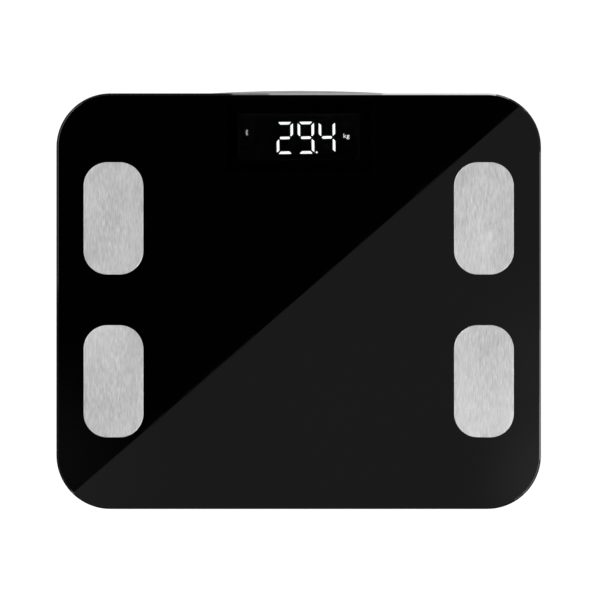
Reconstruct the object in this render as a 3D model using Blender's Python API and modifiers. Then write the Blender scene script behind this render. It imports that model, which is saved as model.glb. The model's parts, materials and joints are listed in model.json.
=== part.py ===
"""Digital bathroom scale: a black tempered glass platform on a grey moulded casing.

Metres, +Z up. The scale stands on the plane Z = 0, with +Y towards its display and +X to the
right of someone who reads it. The origin is under the middle of the whole outline.
"""

import math

import bmesh
import bpy
from mathutils import Matrix, Vector

# ---- Driving dimensions, in metres ---------------------------------------------------------

GAP = 0.0003                    # left between pieces that touch
OVERSHOOT = 0.001               # how far a cutter runs past the face that it opens

GLASS_WIDTH = 0.300
GLASS_DEPTH = 0.2573
GLASS_THICKNESS = 0.005
GLASS_CORNER = 0.0334
GLASS_EDGE = 0.0008             # ground edge, top and bottom
TAPE_THICKNESS = 0.001

ELECTRODE_WIDTH = 0.037
ELECTRODE_LENGTH = 0.0695
ELECTRODE_CORNER = 0.0148
ELECTRODE_THICKNESS = 0.0005
ELECTRODE_X = 0.1146            # half the distance between the left and right pairs
ELECTRODE_Y = 0.0504            # half the distance between the front and rear pairs
STUD_INSET = 0.010              # stud to the electrode's end at the middle of the platform
STUD_RADIUS = 0.0015
STUD_HOLE_CLEARANCE = 0.001
STUD_LENGTH = 0.0085
NUT_RADIUS = 0.0034
NUT_THICKNESS = 0.0014

FOOT_PROUD = 0.004              # the casing's underside stands this far above the floor
FLANGE_INSET = 0.0062           # the casing's rim, inside the glass edge at the front and sides
FLANGE_WIDTH = 0.006
FLANGE_THICKNESS = 0.0025
REAR_BULGE = 0.0017             # how far the casing shows behind the glass
BULGE_WIDTH = 0.115             # and how wide it shows there
WALL = 0.0025
FLOOR_THICKNESS = 0.002
TUB_EDGE = 0.004                # rounding along the bottom of the casing
TAPE_MARGIN = 0.0007

FOOT_MARGIN = 0.0008            # from a load cell holder to the casing's walls
CUP_RADIUS = 0.020
CUP_CLEARANCE = 0.0005
CUP_RIM_Z = 0.0016              # lowest point of the cup, above the floor
CUP_FLANGE_WIDTH = 0.0025
CUP_FLANGE_THICKNESS = 0.0017
CUP_BOSS_RADIUS = 0.004
CUP_RIM_WIDTH = 0.0028
PAD_THICKNESS = 0.0033
PAD_EDGE = 0.0008
WELL_WALL = 0.0015
WELL_HEIGHT = 0.0047
WELL_CLEARANCE = 0.0008          # the well never carries the load cell
LOAD_CELL_SIZE = 0.034
LOAD_CELL_CORNER = 0.003
LOAD_CELL_THICKNESS = 0.002
LOAD_CELL_SLOT = 0.0025
LOAD_CELL_TONGUE = 0.013
LOAD_CELL_RIM = 0.005
HOLDER_WALL = 0.0017
HOLDER_SKIRT = 0.002
HOLDER_WINDOW = 0.026

BATTERY_DIAMETER = 0.0105
BATTERY_LENGTH = 0.0445
BATTERY_NUB_RADIUS = 0.0019
BATTERY_NUB = 0.0008
BATTERY_COUNT = 3
BATTERY_SPACING_GAP = 0.0004
BAY_CLEARANCE = 0.0005
BAY_WALL = 0.0025
BAY_ROOF = 0.0012
BAY_HEADROOM = 0.0005           # from the bay's roof to the rim of the casing
BAY_CENTRE_Y = 0.022
PLATE_THICKNESS = 0.0004
PLATE_HEIGHT = 0.008
SPRING_LENGTH = 0.0047
SPRING_RADIUS = 0.0028
SPRING_WIRE = 0.0003
SPRING_TURNS = 3
TAIL_WIDTH = 0.002
TAIL_THICKNESS = 0.0008
TAIL_PROUD = 0.002

DOOR_THICKNESS = 0.0016
DOOR_LEDGE = 0.001
DOOR_CLEARANCE = 0.0003
DOOR_TAB_X = 0.012
DOOR_TAB_WIDTH = 0.006
DOOR_TAB_THICKNESS = 0.001
DOOR_TAB_REACH = 0.0011         # past the door's own rear edge
DOOR_TAB_RISER = 0.0016
DOOR_LATCH_WIDTH = 0.014
DOOR_LATCH_THICKNESS = 0.0012
DOOR_BARB = 0.0002
FINGER_RADIUS = 0.008
FINGER_DEPTH = 0.001

WINDOW_WIDTH = 0.0755
WINDOW_DEPTH = 0.029
WINDOW_REAR_OFFSET = 0.0268    # window centre to the rear edge of the glass
DISPLAY_HEIGHT = 0.0053
DIFFUSER_THICKNESS = 0.0004
BOARD_MARGIN_X = 0.010
BOARD_MARGIN_Y = 0.0025
BOARD_THICKNESS = 0.0016
POST_INSET = 0.003
POST_RADIUS = 0.0026
SCREW_RADIUS = 0.001
SCREW_CLEARANCE = 0.0004
SCREW_HEAD_RADIUS = 0.002
SCREW_HEAD = 0.0013
SCREW_LENGTH = 0.006

BUTTON_X = 0.028
BUTTON_RADIUS = 0.0038
BUTTON_CLEARANCE = 0.0003
BUTTON_RECESS = 0.0003
BUTTON_FLANGE_RADIUS = 0.0052
BUTTON_FLANGE = 0.0006
BUTTON_STEM_RADIUS = 0.002
SWITCH_SIZE = 0.006
SWITCH_HEIGHT = 0.0034
PLUNGER_RADIUS = 0.0016
PLUNGER_PROUD = 0.0008
PLUNGER_DEPTH = 0.0014
BUTTON_TRAVEL = 0.0005

CHIP_SIZE = 0.007
CHIP_HEIGHT = 0.0012
CHIP_X = -0.006
RADIO_WIDTH = 0.012
RADIO_DEPTH = 0.009
RADIO_HEIGHT = 0.0018
RADIO_X = -0.030

LOAD_LEAD_RADIUS = 0.0009
ELECTRODE_LEAD_RADIUS = 0.0006
BATTERY_LEAD_RADIUS = 0.0007
LEAD_FLOOR_GAP = 0.0003
LEAD_STRAIGHT = 0.004           # a lead's straight run where it meets a board or a terminal
LEAD_CLEARANCE = 0.006          # from a load cell holder to the leads that pass it
LEAD_LIFT = 0.001               # how far a lead stands off the floor where it comes down
LEAD_PITCH = 0.005              # between two leads on the board's edge
LEAD_SHIFT = 0.0035             # how far a lead moves over on its way up to the board
LOAD_LANE = 0.010               # a front load cell's lead runs this far outside the battery bay
ELECTRODE_LANE = 0.020          # and a front electrode's lead this far
LEAD_STEPS = 3                  # points from one route point to the next

CORNER_STEPS = 8
BOW_STEPS = 12
FOOT_SEGMENTS = 28
SPRING_SEGMENTS = 8
BATTERY_SEGMENTS = 24
SMALL_SEGMENTS = 16

# ---- Places worked out from them -----------------------------------------------------------

GLASS_CENTRE_Y = -REAR_BULGE / 2
GLASS_FRONT = GLASS_CENTRE_Y - GLASS_DEPTH / 2
GLASS_REAR = GLASS_CENTRE_Y + GLASS_DEPTH / 2
BOW_RADIUS = ((BULGE_WIDTH / 2) ** 2 + REAR_BULGE ** 2) / (2 * REAR_BULGE)
BOW_CENTRE_Y = GLASS_REAR + REAR_BULGE - BOW_RADIUS

CASING_BOTTOM = FOOT_PROUD
FLOOR_TOP = CASING_BOTTOM + FLOOR_THICKNESS
DOOR_TOP = CASING_BOTTOM + DOOR_THICKNESS
BATTERY_Z = DOOR_TOP + GAP + BATTERY_DIAMETER / 2
BAY_ROOF_BOTTOM = BATTERY_Z + BATTERY_DIAMETER / 2 + GAP
BAY_ROOF_TOP = BAY_ROOF_BOTTOM + BAY_ROOF
CASING_TOP = BAY_ROOF_TOP + BAY_HEADROOM
FLANGE_BOTTOM = CASING_TOP - FLANGE_THICKNESS
TAPE_BOTTOM = CASING_TOP + GAP
GLASS_BOTTOM = TAPE_BOTTOM + TAPE_THICKNESS + GAP
GLASS_TOP = GLASS_BOTTOM + GLASS_THICKNESS
ELECTRODE_BOTTOM = GLASS_TOP + GAP
STUD_Y = ELECTRODE_Y - ELECTRODE_LENGTH / 2 + STUD_INSET
TUB_INSET = FLANGE_INSET + FLANGE_WIDTH
CAVITY_INSET = TUB_INSET + WALL

CUP_FLANGE_RADIUS = CUP_RADIUS + CUP_FLANGE_WIDTH
PAD_RADIUS = CUP_RADIUS - CUP_RIM_WIDTH - GAP
CUP_FLANGE_BOTTOM = FLOOR_TOP + GAP
CUP_TOP = CUP_FLANGE_BOTTOM + CUP_FLANGE_THICKNESS
WELL_INNER = CUP_FLANGE_RADIUS + CUP_CLEARANCE
WELL_OUTER = WELL_INNER + WELL_WALL
WELL_TOP = FLOOR_TOP + WELL_HEIGHT
LOAD_CELL_BOTTOM = WELL_TOP + WELL_CLEARANCE
BOSS_TOP = LOAD_CELL_BOTTOM - GAP
LOAD_CELL_TOP = LOAD_CELL_BOTTOM + LOAD_CELL_THICKNESS
HOLDER_BOTTOM = WELL_TOP - HOLDER_SKIRT
HOLDER_TOP = GLASS_BOTTOM - GAP
HOLDER_RADIUS = WELL_OUTER + GAP + HOLDER_WALL

BAY_LENGTH = BATTERY_LENGTH + 2 * (2 * GAP + PLATE_THICKNESS) + GAP + SPRING_LENGTH
BATTERY_PITCH = BATTERY_DIAMETER + BATTERY_SPACING_GAP
BAY_DEPTH = BATTERY_PITCH * BATTERY_COUNT - BATTERY_SPACING_GAP + 2 * BAY_CLEARANCE
BAY_OUTER_X = BAY_LENGTH / 2 + BAY_WALL
BAY_FRONT = BAY_CENTRE_Y - BAY_DEPTH / 2
BAY_REAR = BAY_CENTRE_Y + BAY_DEPTH / 2
DOOR_LENGTH = BAY_LENGTH + 2 * DOOR_LEDGE
DOOR_REAR = BAY_REAR + DOOR_LEDGE - DOOR_CLEARANCE
DOOR_FRONT = BAY_FRONT - DOOR_LEDGE + DOOR_CLEARANCE
DOOR_AXIS = Vector((0, DOOR_REAR, CASING_BOTTOM))
TAB_BOTTOM = FLOOR_TOP + GAP
TAB_TOP = TAB_BOTTOM + DOOR_TAB_THICKNESS

DISPLAY_Y = GLASS_REAR - WINDOW_REAR_OFFSET
DIFFUSER_BOTTOM = GLASS_BOTTOM - GAP - DIFFUSER_THICKNESS
DISPLAY_BOTTOM = DIFFUSER_BOTTOM - GAP - DISPLAY_HEIGHT
BOARD_WIDTH = WINDOW_WIDTH + 2 * BOARD_MARGIN_X
BOARD_DEPTH = WINDOW_DEPTH + 2 * BOARD_MARGIN_Y
BOARD_TOP = DISPLAY_BOTTOM - GAP
BOARD_BOTTOM = BOARD_TOP - BOARD_THICKNESS
BOARD_FRONT = DISPLAY_Y - BOARD_DEPTH / 2
POST_TOP = BOARD_BOTTOM - GAP
SWITCH_BOTTOM = BOARD_BOTTOM - GAP - SWITCH_HEIGHT
PLUNGER_BOTTOM = SWITCH_BOTTOM - PLUNGER_PROUD
BUTTON_BOTTOM = CASING_BOTTOM + BUTTON_RECESS
BUTTON_FLANGE_BOTTOM = FLOOR_TOP + GAP
LEAD_END_Z = (BOARD_BOTTOM + BOARD_TOP) / 2

CORNERS = {
    "front_left": (-1, -1),
    "front_right": (1, -1),
    "rear_left": (-1, 1),
    "rear_right": (1, 1),
}


# ---- Scene and materials -------------------------------------------------------------------

for leftover in list(bpy.data.objects):
    bpy.data.objects.remove(leftover, do_unlink=True)


def new_collection(name):
    collection = bpy.data.collections.new(name)
    bpy.context.scene.collection.children.link(collection)
    return collection


PARTS = new_collection("digital_bathroom_scale")
CUTTERS = new_collection("cutters")


def new_material(name, colour, roughness, metallic=0.0):
    material = bpy.data.materials.new(name)
    material.use_nodes = True
    shader = material.node_tree.nodes["Principled BSDF"]
    shader.inputs["Base Color"].default_value = (*colour, 1.0)
    shader.inputs["Roughness"].default_value = roughness
    shader.inputs["Metallic"].default_value = metallic
    return material


BLACK_GLASS = new_material("black_glass", (0.004, 0.004, 0.005), 0.04)
BRUSHED_STEEL = new_material("brushed_steel", (0.55, 0.55, 0.55), 0.35, 1.0)
GREY_PLASTIC = new_material("grey_plastic", (0.34, 0.345, 0.35), 0.45)
DARK_PLASTIC = new_material("dark_plastic", (0.03, 0.03, 0.03), 0.5)
WHITE_PLASTIC = new_material("white_plastic", (0.8, 0.8, 0.78), 0.4)
RUBBER = new_material("rubber", (0.06, 0.06, 0.06), 0.8)
FOAM_TAPE = new_material("foam_tape", (0.02, 0.02, 0.02), 0.9)
LOAD_CELL_STEEL = new_material("load_cell_steel", (0.45, 0.45, 0.46), 0.4, 1.0)
BOARD_GREEN = new_material("board_green", (0.02, 0.14, 0.05), 0.4)
CHIP_BLACK = new_material("chip_black", (0.015, 0.015, 0.016), 0.5)
PLATED_STEEL = new_material("plated_steel", (0.7, 0.7, 0.7), 0.25, 1.0)
BATTERY_SLEEVE = new_material("battery_sleeve", (0.05, 0.12, 0.3), 0.35)
LEAD_GREY = new_material("lead_grey", (0.25, 0.25, 0.25), 0.5)
LEAD_RED = new_material("lead_red", (0.5, 0.02, 0.02), 0.5)
LEAD_BLACK = new_material("lead_black", (0.02, 0.02, 0.02), 0.5)


# ---- Shapes --------------------------------------------------------------------------------

def add_mesh_object(name, mesh, location, material):
    """A node when it has a material, or a cutter when it has none."""
    thing = bpy.data.objects.new(name, mesh)
    thing.location = location
    if material is None:
        thing.hide_render = True
        thing.display_type = "WIRE"
        CUTTERS.objects.link(thing)
    else:
        mesh.materials.clear()
        mesh.materials.append(material)
        PARTS.objects.link(thing)
    return thing


def object_from_bmesh(name, shape, location, material):
    mesh = bpy.data.meshes.new(name)
    shape.to_mesh(mesh)
    shape.free()
    return add_mesh_object(name, mesh, location, material)


def box(name, low, high, material=None):
    """A box from its lowest to its highest corner."""
    low, high = Vector(low), Vector(high)
    shape = bmesh.new()
    bmesh.ops.create_cube(shape, size=1.0, matrix=Matrix.Diagonal((*(high - low), 1.0)))
    return object_from_bmesh(name, shape, (low + high) / 2, material)


def cylinder(name, radius, low, high, centre=(0, 0), material=None, segments=SMALL_SEGMENTS):
    """An upright cylinder from one height to another."""
    shape = bmesh.new()
    bmesh.ops.create_cone(
        shape, cap_ends=True, segments=segments, radius1=radius, radius2=radius, depth=high - low
    )
    thing = object_from_bmesh(name, shape, (*centre, (low + high) / 2), material)
    smooth(thing)
    return thing


def turned(name, profile, centre, material, segments=FOOT_SEGMENTS):
    """A turned piece, from (radius, height) points that run from the top to the bottom."""
    shape = bmesh.new()
    points = [shape.verts.new((radius, 0, height)) for radius, height in profile]
    for first, second in zip(points, points[1:]):
        shape.edges.new((first, second))
    thing = object_from_bmesh(name, shape, (*centre, 0), material)
    screw = thing.modifiers.new("turn", "SCREW")
    screw.steps = segments
    screw.render_steps = segments
    screw.use_merge_vertices = True
    screw.merge_threshold = 0.00001
    screw.use_smooth_shade = False
    return thing


def mesh_from_curve(curve_object):
    """The curve as a closed mesh with flat caps, at the same place."""
    bpy.context.view_layer.update()
    evaluated = curve_object.evaluated_get(bpy.context.evaluated_depsgraph_get())
    mesh = bpy.data.meshes.new_from_object(evaluated)
    shape = bmesh.new()
    shape.from_mesh(mesh)
    bmesh.ops.remove_doubles(shape, verts=shape.verts, dist=0.000001)
    bmesh.ops.dissolve_limit(
        shape, angle_limit=math.radians(0.01), verts=shape.verts, edges=shape.edges
    )
    bmesh.ops.recalc_face_normals(shape, faces=shape.faces)
    shape.to_mesh(mesh)
    shape.free()
    bpy.data.objects.remove(curve_object, do_unlink=True)
    return mesh


def plate(name, outline, low, high, material=None):
    """A flat outline between two heights."""
    curve = bpy.data.curves.new(name, "CURVE")
    curve.dimensions = "2D"
    curve.fill_mode = "BOTH"
    curve.extrude = (high - low) / 2
    spline = curve.splines.new("POLY")
    spline.points.add(len(outline) - 1)
    for point, (x, y) in zip(spline.points, outline):
        point.co = (x, y, 0, 1)
    spline.use_cyclic_u = True
    drawn = bpy.data.objects.new(name + "_outline", curve)
    bpy.context.scene.collection.objects.link(drawn)
    return add_mesh_object(name, mesh_from_curve(drawn), (0, 0, (low + high) / 2), material)


def wire(name, points, radius, material):
    """A wire along the points."""
    curve = bpy.data.curves.new(name, "CURVE")
    curve.dimensions = "3D"
    curve.bevel_depth = radius
    curve.bevel_resolution = 2
    curve.use_fill_caps = True
    spline = curve.splines.new("POLY")
    spline.points.add(len(points) - 1)
    for point, place in zip(spline.points, points):
        point.co = (*place, 1)
    thing = bpy.data.objects.new(name, curve)
    curve.materials.append(material)
    PARTS.objects.link(thing)


def smooth(thing, angle=35):
    thing.data.shade_smooth()
    thing.data.set_sharp_from_angle(angle=math.radians(angle))


def boolean(target, other, operation):
    modifier = target.modifiers.new(other.name, "BOOLEAN")
    modifier.operation = operation
    modifier.object = other
    modifier.solver = "EXACT"


def cut(target, *cutters):
    for cutter in cutters:
        boolean(target, cutter, "DIFFERENCE")


def join(target, *pieces):
    for piece in pieces:
        boolean(target, piece, "UNION")


def round_rim(thing, height, radius, segments):
    """Rounds the edges where a flat face of the piece at this local height meets its sides."""
    shape = bmesh.new()
    shape.from_mesh(thing.data)
    rim = [
        edge
        for edge in shape.edges
        if all(abs(vert.co.z - height) < 0.00001 for vert in edge.verts)
        and edge.calc_face_angle(0) > 1
    ]
    bmesh.ops.bevel(
        shape, geom=rim, offset=radius, segments=segments, profile=0.5, affect="EDGES"
    )
    shape.to_mesh(thing.data)
    shape.free()


def hang(child, parent):
    """Parents the child and leaves it where it is."""
    bpy.context.view_layer.update()
    child.parent = parent
    child.matrix_parent_inverse = parent.matrix_world.inverted()


# ---- Outlines ------------------------------------------------------------------------------

def arc(centre, radius, start, end, steps):
    """Points on an arc between two angles in radians, with both ends."""
    angles = (start + (end - start) * step / steps for step in range(steps + 1))
    return [
        (centre[0] + radius * math.cos(angle), centre[1] + radius * math.sin(angle))
        for angle in angles
    ]


def rounded_rectangle(width, depth, radius, centre=(0, 0), steps=CORNER_STEPS):
    """Outline of a rectangle with round corners, anticlockwise."""
    outline = []
    for quarter, (side, end) in enumerate(((1, 1), (-1, 1), (-1, -1), (1, -1))):
        corner = (
            centre[0] + side * (width / 2 - radius),
            centre[1] + end * (depth / 2 - radius),
        )
        start = quarter * math.pi / 2
        outline += arc(corner, radius, start, start + math.pi / 2, steps)
    return outline


def casing_corner(inset, end):
    """Centre and radius of a corner arc on the right side, at the front (-1) or the rear (1)."""
    radius = GLASS_CORNER - inset
    x = GLASS_WIDTH / 2 - inset - radius
    if end < 0:
        return x, GLASS_FRONT + inset + radius, radius
    bow = BOW_RADIUS - (inset - FLANGE_INSET)
    return x, BOW_CENTRE_Y + math.sqrt((bow - radius) ** 2 - x ** 2), radius


def casing_outline(inset):
    """Outline this far inside the glass edge, whose rear side is bowed past the glass.

    The bow and the rear corner arcs meet in a common tangent.
    """
    x, rear_y, radius = casing_corner(inset, 1)
    front_y = casing_corner(inset, -1)[1]
    bow = BOW_RADIUS - (inset - FLANGE_INSET)
    turn = math.atan2(rear_y - BOW_CENTRE_Y, x)
    outline = arc((x, rear_y), radius, 0, turn, CORNER_STEPS)
    outline += arc((0, BOW_CENTRE_Y), bow, turn, math.pi - turn, BOW_STEPS)[1:-1]
    outline += arc((-x, rear_y), radius, math.pi - turn, math.pi, CORNER_STEPS)
    outline += arc((-x, front_y), radius, math.pi, 1.5 * math.pi, CORNER_STEPS)
    outline += arc((x, front_y), radius, 1.5 * math.pi, 2 * math.pi, CORNER_STEPS)
    return outline


def heading_at(before, place, after):
    """The direction of a smooth curve at place. It never climbs or falls faster than both of its sides."""
    heading = (after - before).normalized()
    arriving = (place - before).normalized().z
    leaving = (after - place).normalized().z
    heading.z = min(arriving, leaving, key=abs) if arriving * leaving > 0 else 0
    return heading


def smooth_route(route, steps=LEAD_STEPS):
    """Points on a smooth curve through the route's own points."""
    route = [Vector(place) for place in route]
    inner = [heading_at(*three) for three in zip(route, route[1:], route[2:])]
    headings = [(route[1] - route[0]).normalized(), *inner, (route[-1] - route[-2]).normalized()]
    points = []
    for start, end, leaving, arriving in zip(route, route[1:], headings, headings[1:]):
        length = (end - start).length
        for step in range(steps):
            t = step / steps
            points.append(
                (2 * t ** 3 - 3 * t ** 2 + 1) * start
                + (t ** 3 - 2 * t ** 2 + t) * length * leaving
                + (3 * t ** 2 - 2 * t ** 3) * end
                + (t ** 3 - t ** 2) * length * arriving
            )
    return points + [route[-1]]


# ---- Platform ------------------------------------------------------------------------------

def make_glass():
    glass = plate(
        "glass_platform",
        rounded_rectangle(GLASS_WIDTH, GLASS_DEPTH, GLASS_CORNER, (0, GLASS_CENTRE_Y)),
        GLASS_BOTTOM,
        GLASS_TOP,
        BLACK_GLASS,
    )
    round_rim(glass, GLASS_THICKNESS / 2, GLASS_EDGE, 2)
    round_rim(glass, -GLASS_THICKNESS / 2, GLASS_EDGE, 2)
    for corner, (side, end) in CORNERS.items():
        hole = cylinder(
            "stud_hole_" + corner,
            STUD_RADIUS + STUD_HOLE_CLEARANCE,
            GLASS_BOTTOM - OVERSHOOT,
            GLASS_TOP + OVERSHOOT,
            (side * ELECTRODE_X, end * STUD_Y),
        )
        cut(glass, hole)


def make_electrode(corner, side, end):
    """A steel foot plate with its welded stud, and the nut that clamps its lead."""
    centre = (side * ELECTRODE_X, end * ELECTRODE_Y)
    electrode = plate(
        "electrode_" + corner,
        rounded_rectangle(ELECTRODE_WIDTH, ELECTRODE_LENGTH, ELECTRODE_CORNER, centre),
        ELECTRODE_BOTTOM,
        ELECTRODE_BOTTOM + ELECTRODE_THICKNESS,
        BRUSHED_STEEL,
    )
    place = (side * ELECTRODE_X, end * STUD_Y)
    stud_bottom = ELECTRODE_BOTTOM - STUD_LENGTH
    middle = ELECTRODE_BOTTOM + ELECTRODE_THICKNESS / 2
    join(electrode, cylinder("stud_" + corner, STUD_RADIUS, stud_bottom, middle, place))
    nut_top = GLASS_BOTTOM - GAP
    nut = cylinder(
        "electrode_nut_" + corner,
        NUT_RADIUS,
        nut_top - NUT_THICKNESS,
        nut_top,
        place,
        PLATED_STEEL,
        segments=6,
    )
    bore = cylinder(
        "nut_bore_" + corner,
        STUD_RADIUS + GAP,
        nut_top - NUT_THICKNESS - OVERSHOOT,
        nut_top + OVERSHOOT,
        place,
    )
    cut(nut, bore)


def make_tape():
    outer = FLANGE_INSET + REAR_BULGE + TAPE_MARGIN
    inner = CAVITY_INSET - TAPE_MARGIN
    top = TAPE_BOTTOM + TAPE_THICKNESS
    tape = plate("platform_tape", casing_outline(outer), TAPE_BOTTOM, top, FOAM_TAPE)
    opening = plate(
        "tape_opening", casing_outline(inner), TAPE_BOTTOM - OVERSHOOT, top + OVERSHOOT
    )
    cut(tape, opening)


# ---- Feet and load cells -------------------------------------------------------------------

def foot_centre(side, end):
    """The foot's axis, as near the casing's corner as its load cell holder allows."""
    x, y, radius = casing_corner(CAVITY_INSET, end)
    inward = HOLDER_RADIUS + FOOT_MARGIN - radius
    return side * (x - inward), y - end * inward


def make_foot(corner, side, end):
    """The cup that slides in the casing, and the rubber pad in it."""
    centre = foot_centre(side, end)
    recess_top = PAD_THICKNESS + GAP
    recess_radius = PAD_RADIUS + GAP
    cup = turned(
        "foot_cup_" + corner,
        (
            (0, BOSS_TOP),
            (CUP_BOSS_RADIUS, BOSS_TOP),
            (CUP_BOSS_RADIUS, CUP_TOP),
            (CUP_FLANGE_RADIUS, CUP_TOP),
            (CUP_FLANGE_RADIUS, CUP_FLANGE_BOTTOM),
            (CUP_RADIUS, CUP_FLANGE_BOTTOM),
            (CUP_RADIUS, CUP_RIM_Z + PAD_EDGE),
            (CUP_RADIUS - PAD_EDGE, CUP_RIM_Z),
            (recess_radius, CUP_RIM_Z),
            (recess_radius, recess_top),
            (0, recess_top),
        ),
        centre,
        GREY_PLASTIC,
    )
    pad = turned(
        "foot_pad_" + corner,
        (
            (0, PAD_THICKNESS),
            (PAD_RADIUS, PAD_THICKNESS),
            (PAD_RADIUS, PAD_EDGE),
            (PAD_RADIUS - PAD_EDGE, 0),
            (0, 0),
        ),
        centre,
        RUBBER,
    )
    hang(pad, cup)


def make_load_cell(corner, side, end):
    """A square steel plate whose slot leaves a tongue, which the foot presses."""
    x, y = foot_centre(side, end)
    cell = plate(
        "load_cell_" + corner,
        rounded_rectangle(LOAD_CELL_SIZE, LOAD_CELL_SIZE, LOAD_CELL_CORNER, (x, y), 3),
        LOAD_CELL_BOTTOM,
        LOAD_CELL_TOP,
        LOAD_CELL_STEEL,
    )
    low, high = LOAD_CELL_BOTTOM - OVERSHOOT, LOAD_CELL_TOP + OVERSHOOT
    reach = LOAD_CELL_SIZE / 2 - LOAD_CELL_RIM
    tongue = LOAD_CELL_TONGUE / 2
    inward = -side
    for row in (-1, 1):
        slot_y = y + row * (tongue + LOAD_CELL_SLOT / 2)
        slot = box(
            f"cell_slot_{corner}_{row}",
            (x - reach, slot_y - LOAD_CELL_SLOT / 2, low),
            (x + reach, slot_y + LOAD_CELL_SLOT / 2, high),
        )
        cut(cell, slot)
    end_x = x + inward * (reach - LOAD_CELL_SLOT / 2)
    end_slot = box(
        f"cell_end_slot_{corner}",
        (end_x - LOAD_CELL_SLOT / 2, y - tongue - LOAD_CELL_SLOT / 2, low),
        (end_x + LOAD_CELL_SLOT / 2, y + tongue + LOAD_CELL_SLOT / 2, high),
    )
    cut(cell, end_slot)


def make_holder(corner, side, end):
    """The ring that sits over the well wall and carries the glass down to the load cell."""
    x, y = foot_centre(side, end)
    holder = cylinder(
        "load_cell_holder_" + corner,
        HOLDER_RADIUS,
        HOLDER_BOTTOM,
        HOLDER_TOP,
        (x, y),
        DARK_PLASTIC,
        FOOT_SEGMENTS,
    )
    skirt = cylinder(
        "holder_skirt_" + corner,
        WELL_OUTER + GAP,
        HOLDER_BOTTOM - OVERSHOOT,
        LOAD_CELL_BOTTOM,
        (x, y),
        segments=FOOT_SEGMENTS,
    )
    pocket_half = LOAD_CELL_SIZE / 2 + GAP
    pocket = box(
        "holder_pocket_" + corner,
        (x - pocket_half, y - pocket_half, HOLDER_BOTTOM),
        (x + pocket_half, y + pocket_half, LOAD_CELL_TOP + GAP),
    )
    window = cylinder(
        "holder_window_" + corner,
        HOLDER_WINDOW / 2,
        LOAD_CELL_TOP,
        HOLDER_TOP + OVERSHOOT,
        (x, y),
        segments=SMALL_SEGMENTS,
    )
    notch_half = 2 * LOAD_LEAD_RADIUS
    near, far = sorted((x, x - side * (HOLDER_RADIUS + OVERSHOOT)))
    notch = box(
        "holder_notch_" + corner,
        (near, y - notch_half, HOLDER_BOTTOM - OVERSHOOT),
        (far, y + notch_half, LOAD_CELL_TOP + GAP),
    )
    cut(holder, skirt, pocket, window, notch)
    smooth(holder)


# ---- Casing --------------------------------------------------------------------------------

def bay_box(name, margin_x, margin_y, low, high, material=None):
    """A box that stands this far outside the battery bay on every side."""
    half = BAY_LENGTH / 2 + margin_x
    return box(
        name,
        (-half, BAY_FRONT - margin_y, low),
        (half, BAY_REAR + margin_y, high),
        material,
    )


def post_places():
    """The board's four fixing points, and whether each one takes a screw."""
    half_x = BOARD_WIDTH / 2 - POST_INSET
    half_y = BOARD_DEPTH / 2 - POST_INSET
    for side in (-1, 1):
        for end in (-1, 1):
            yield (side * half_x, DISPLAY_Y + end * half_y), side == end


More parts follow.
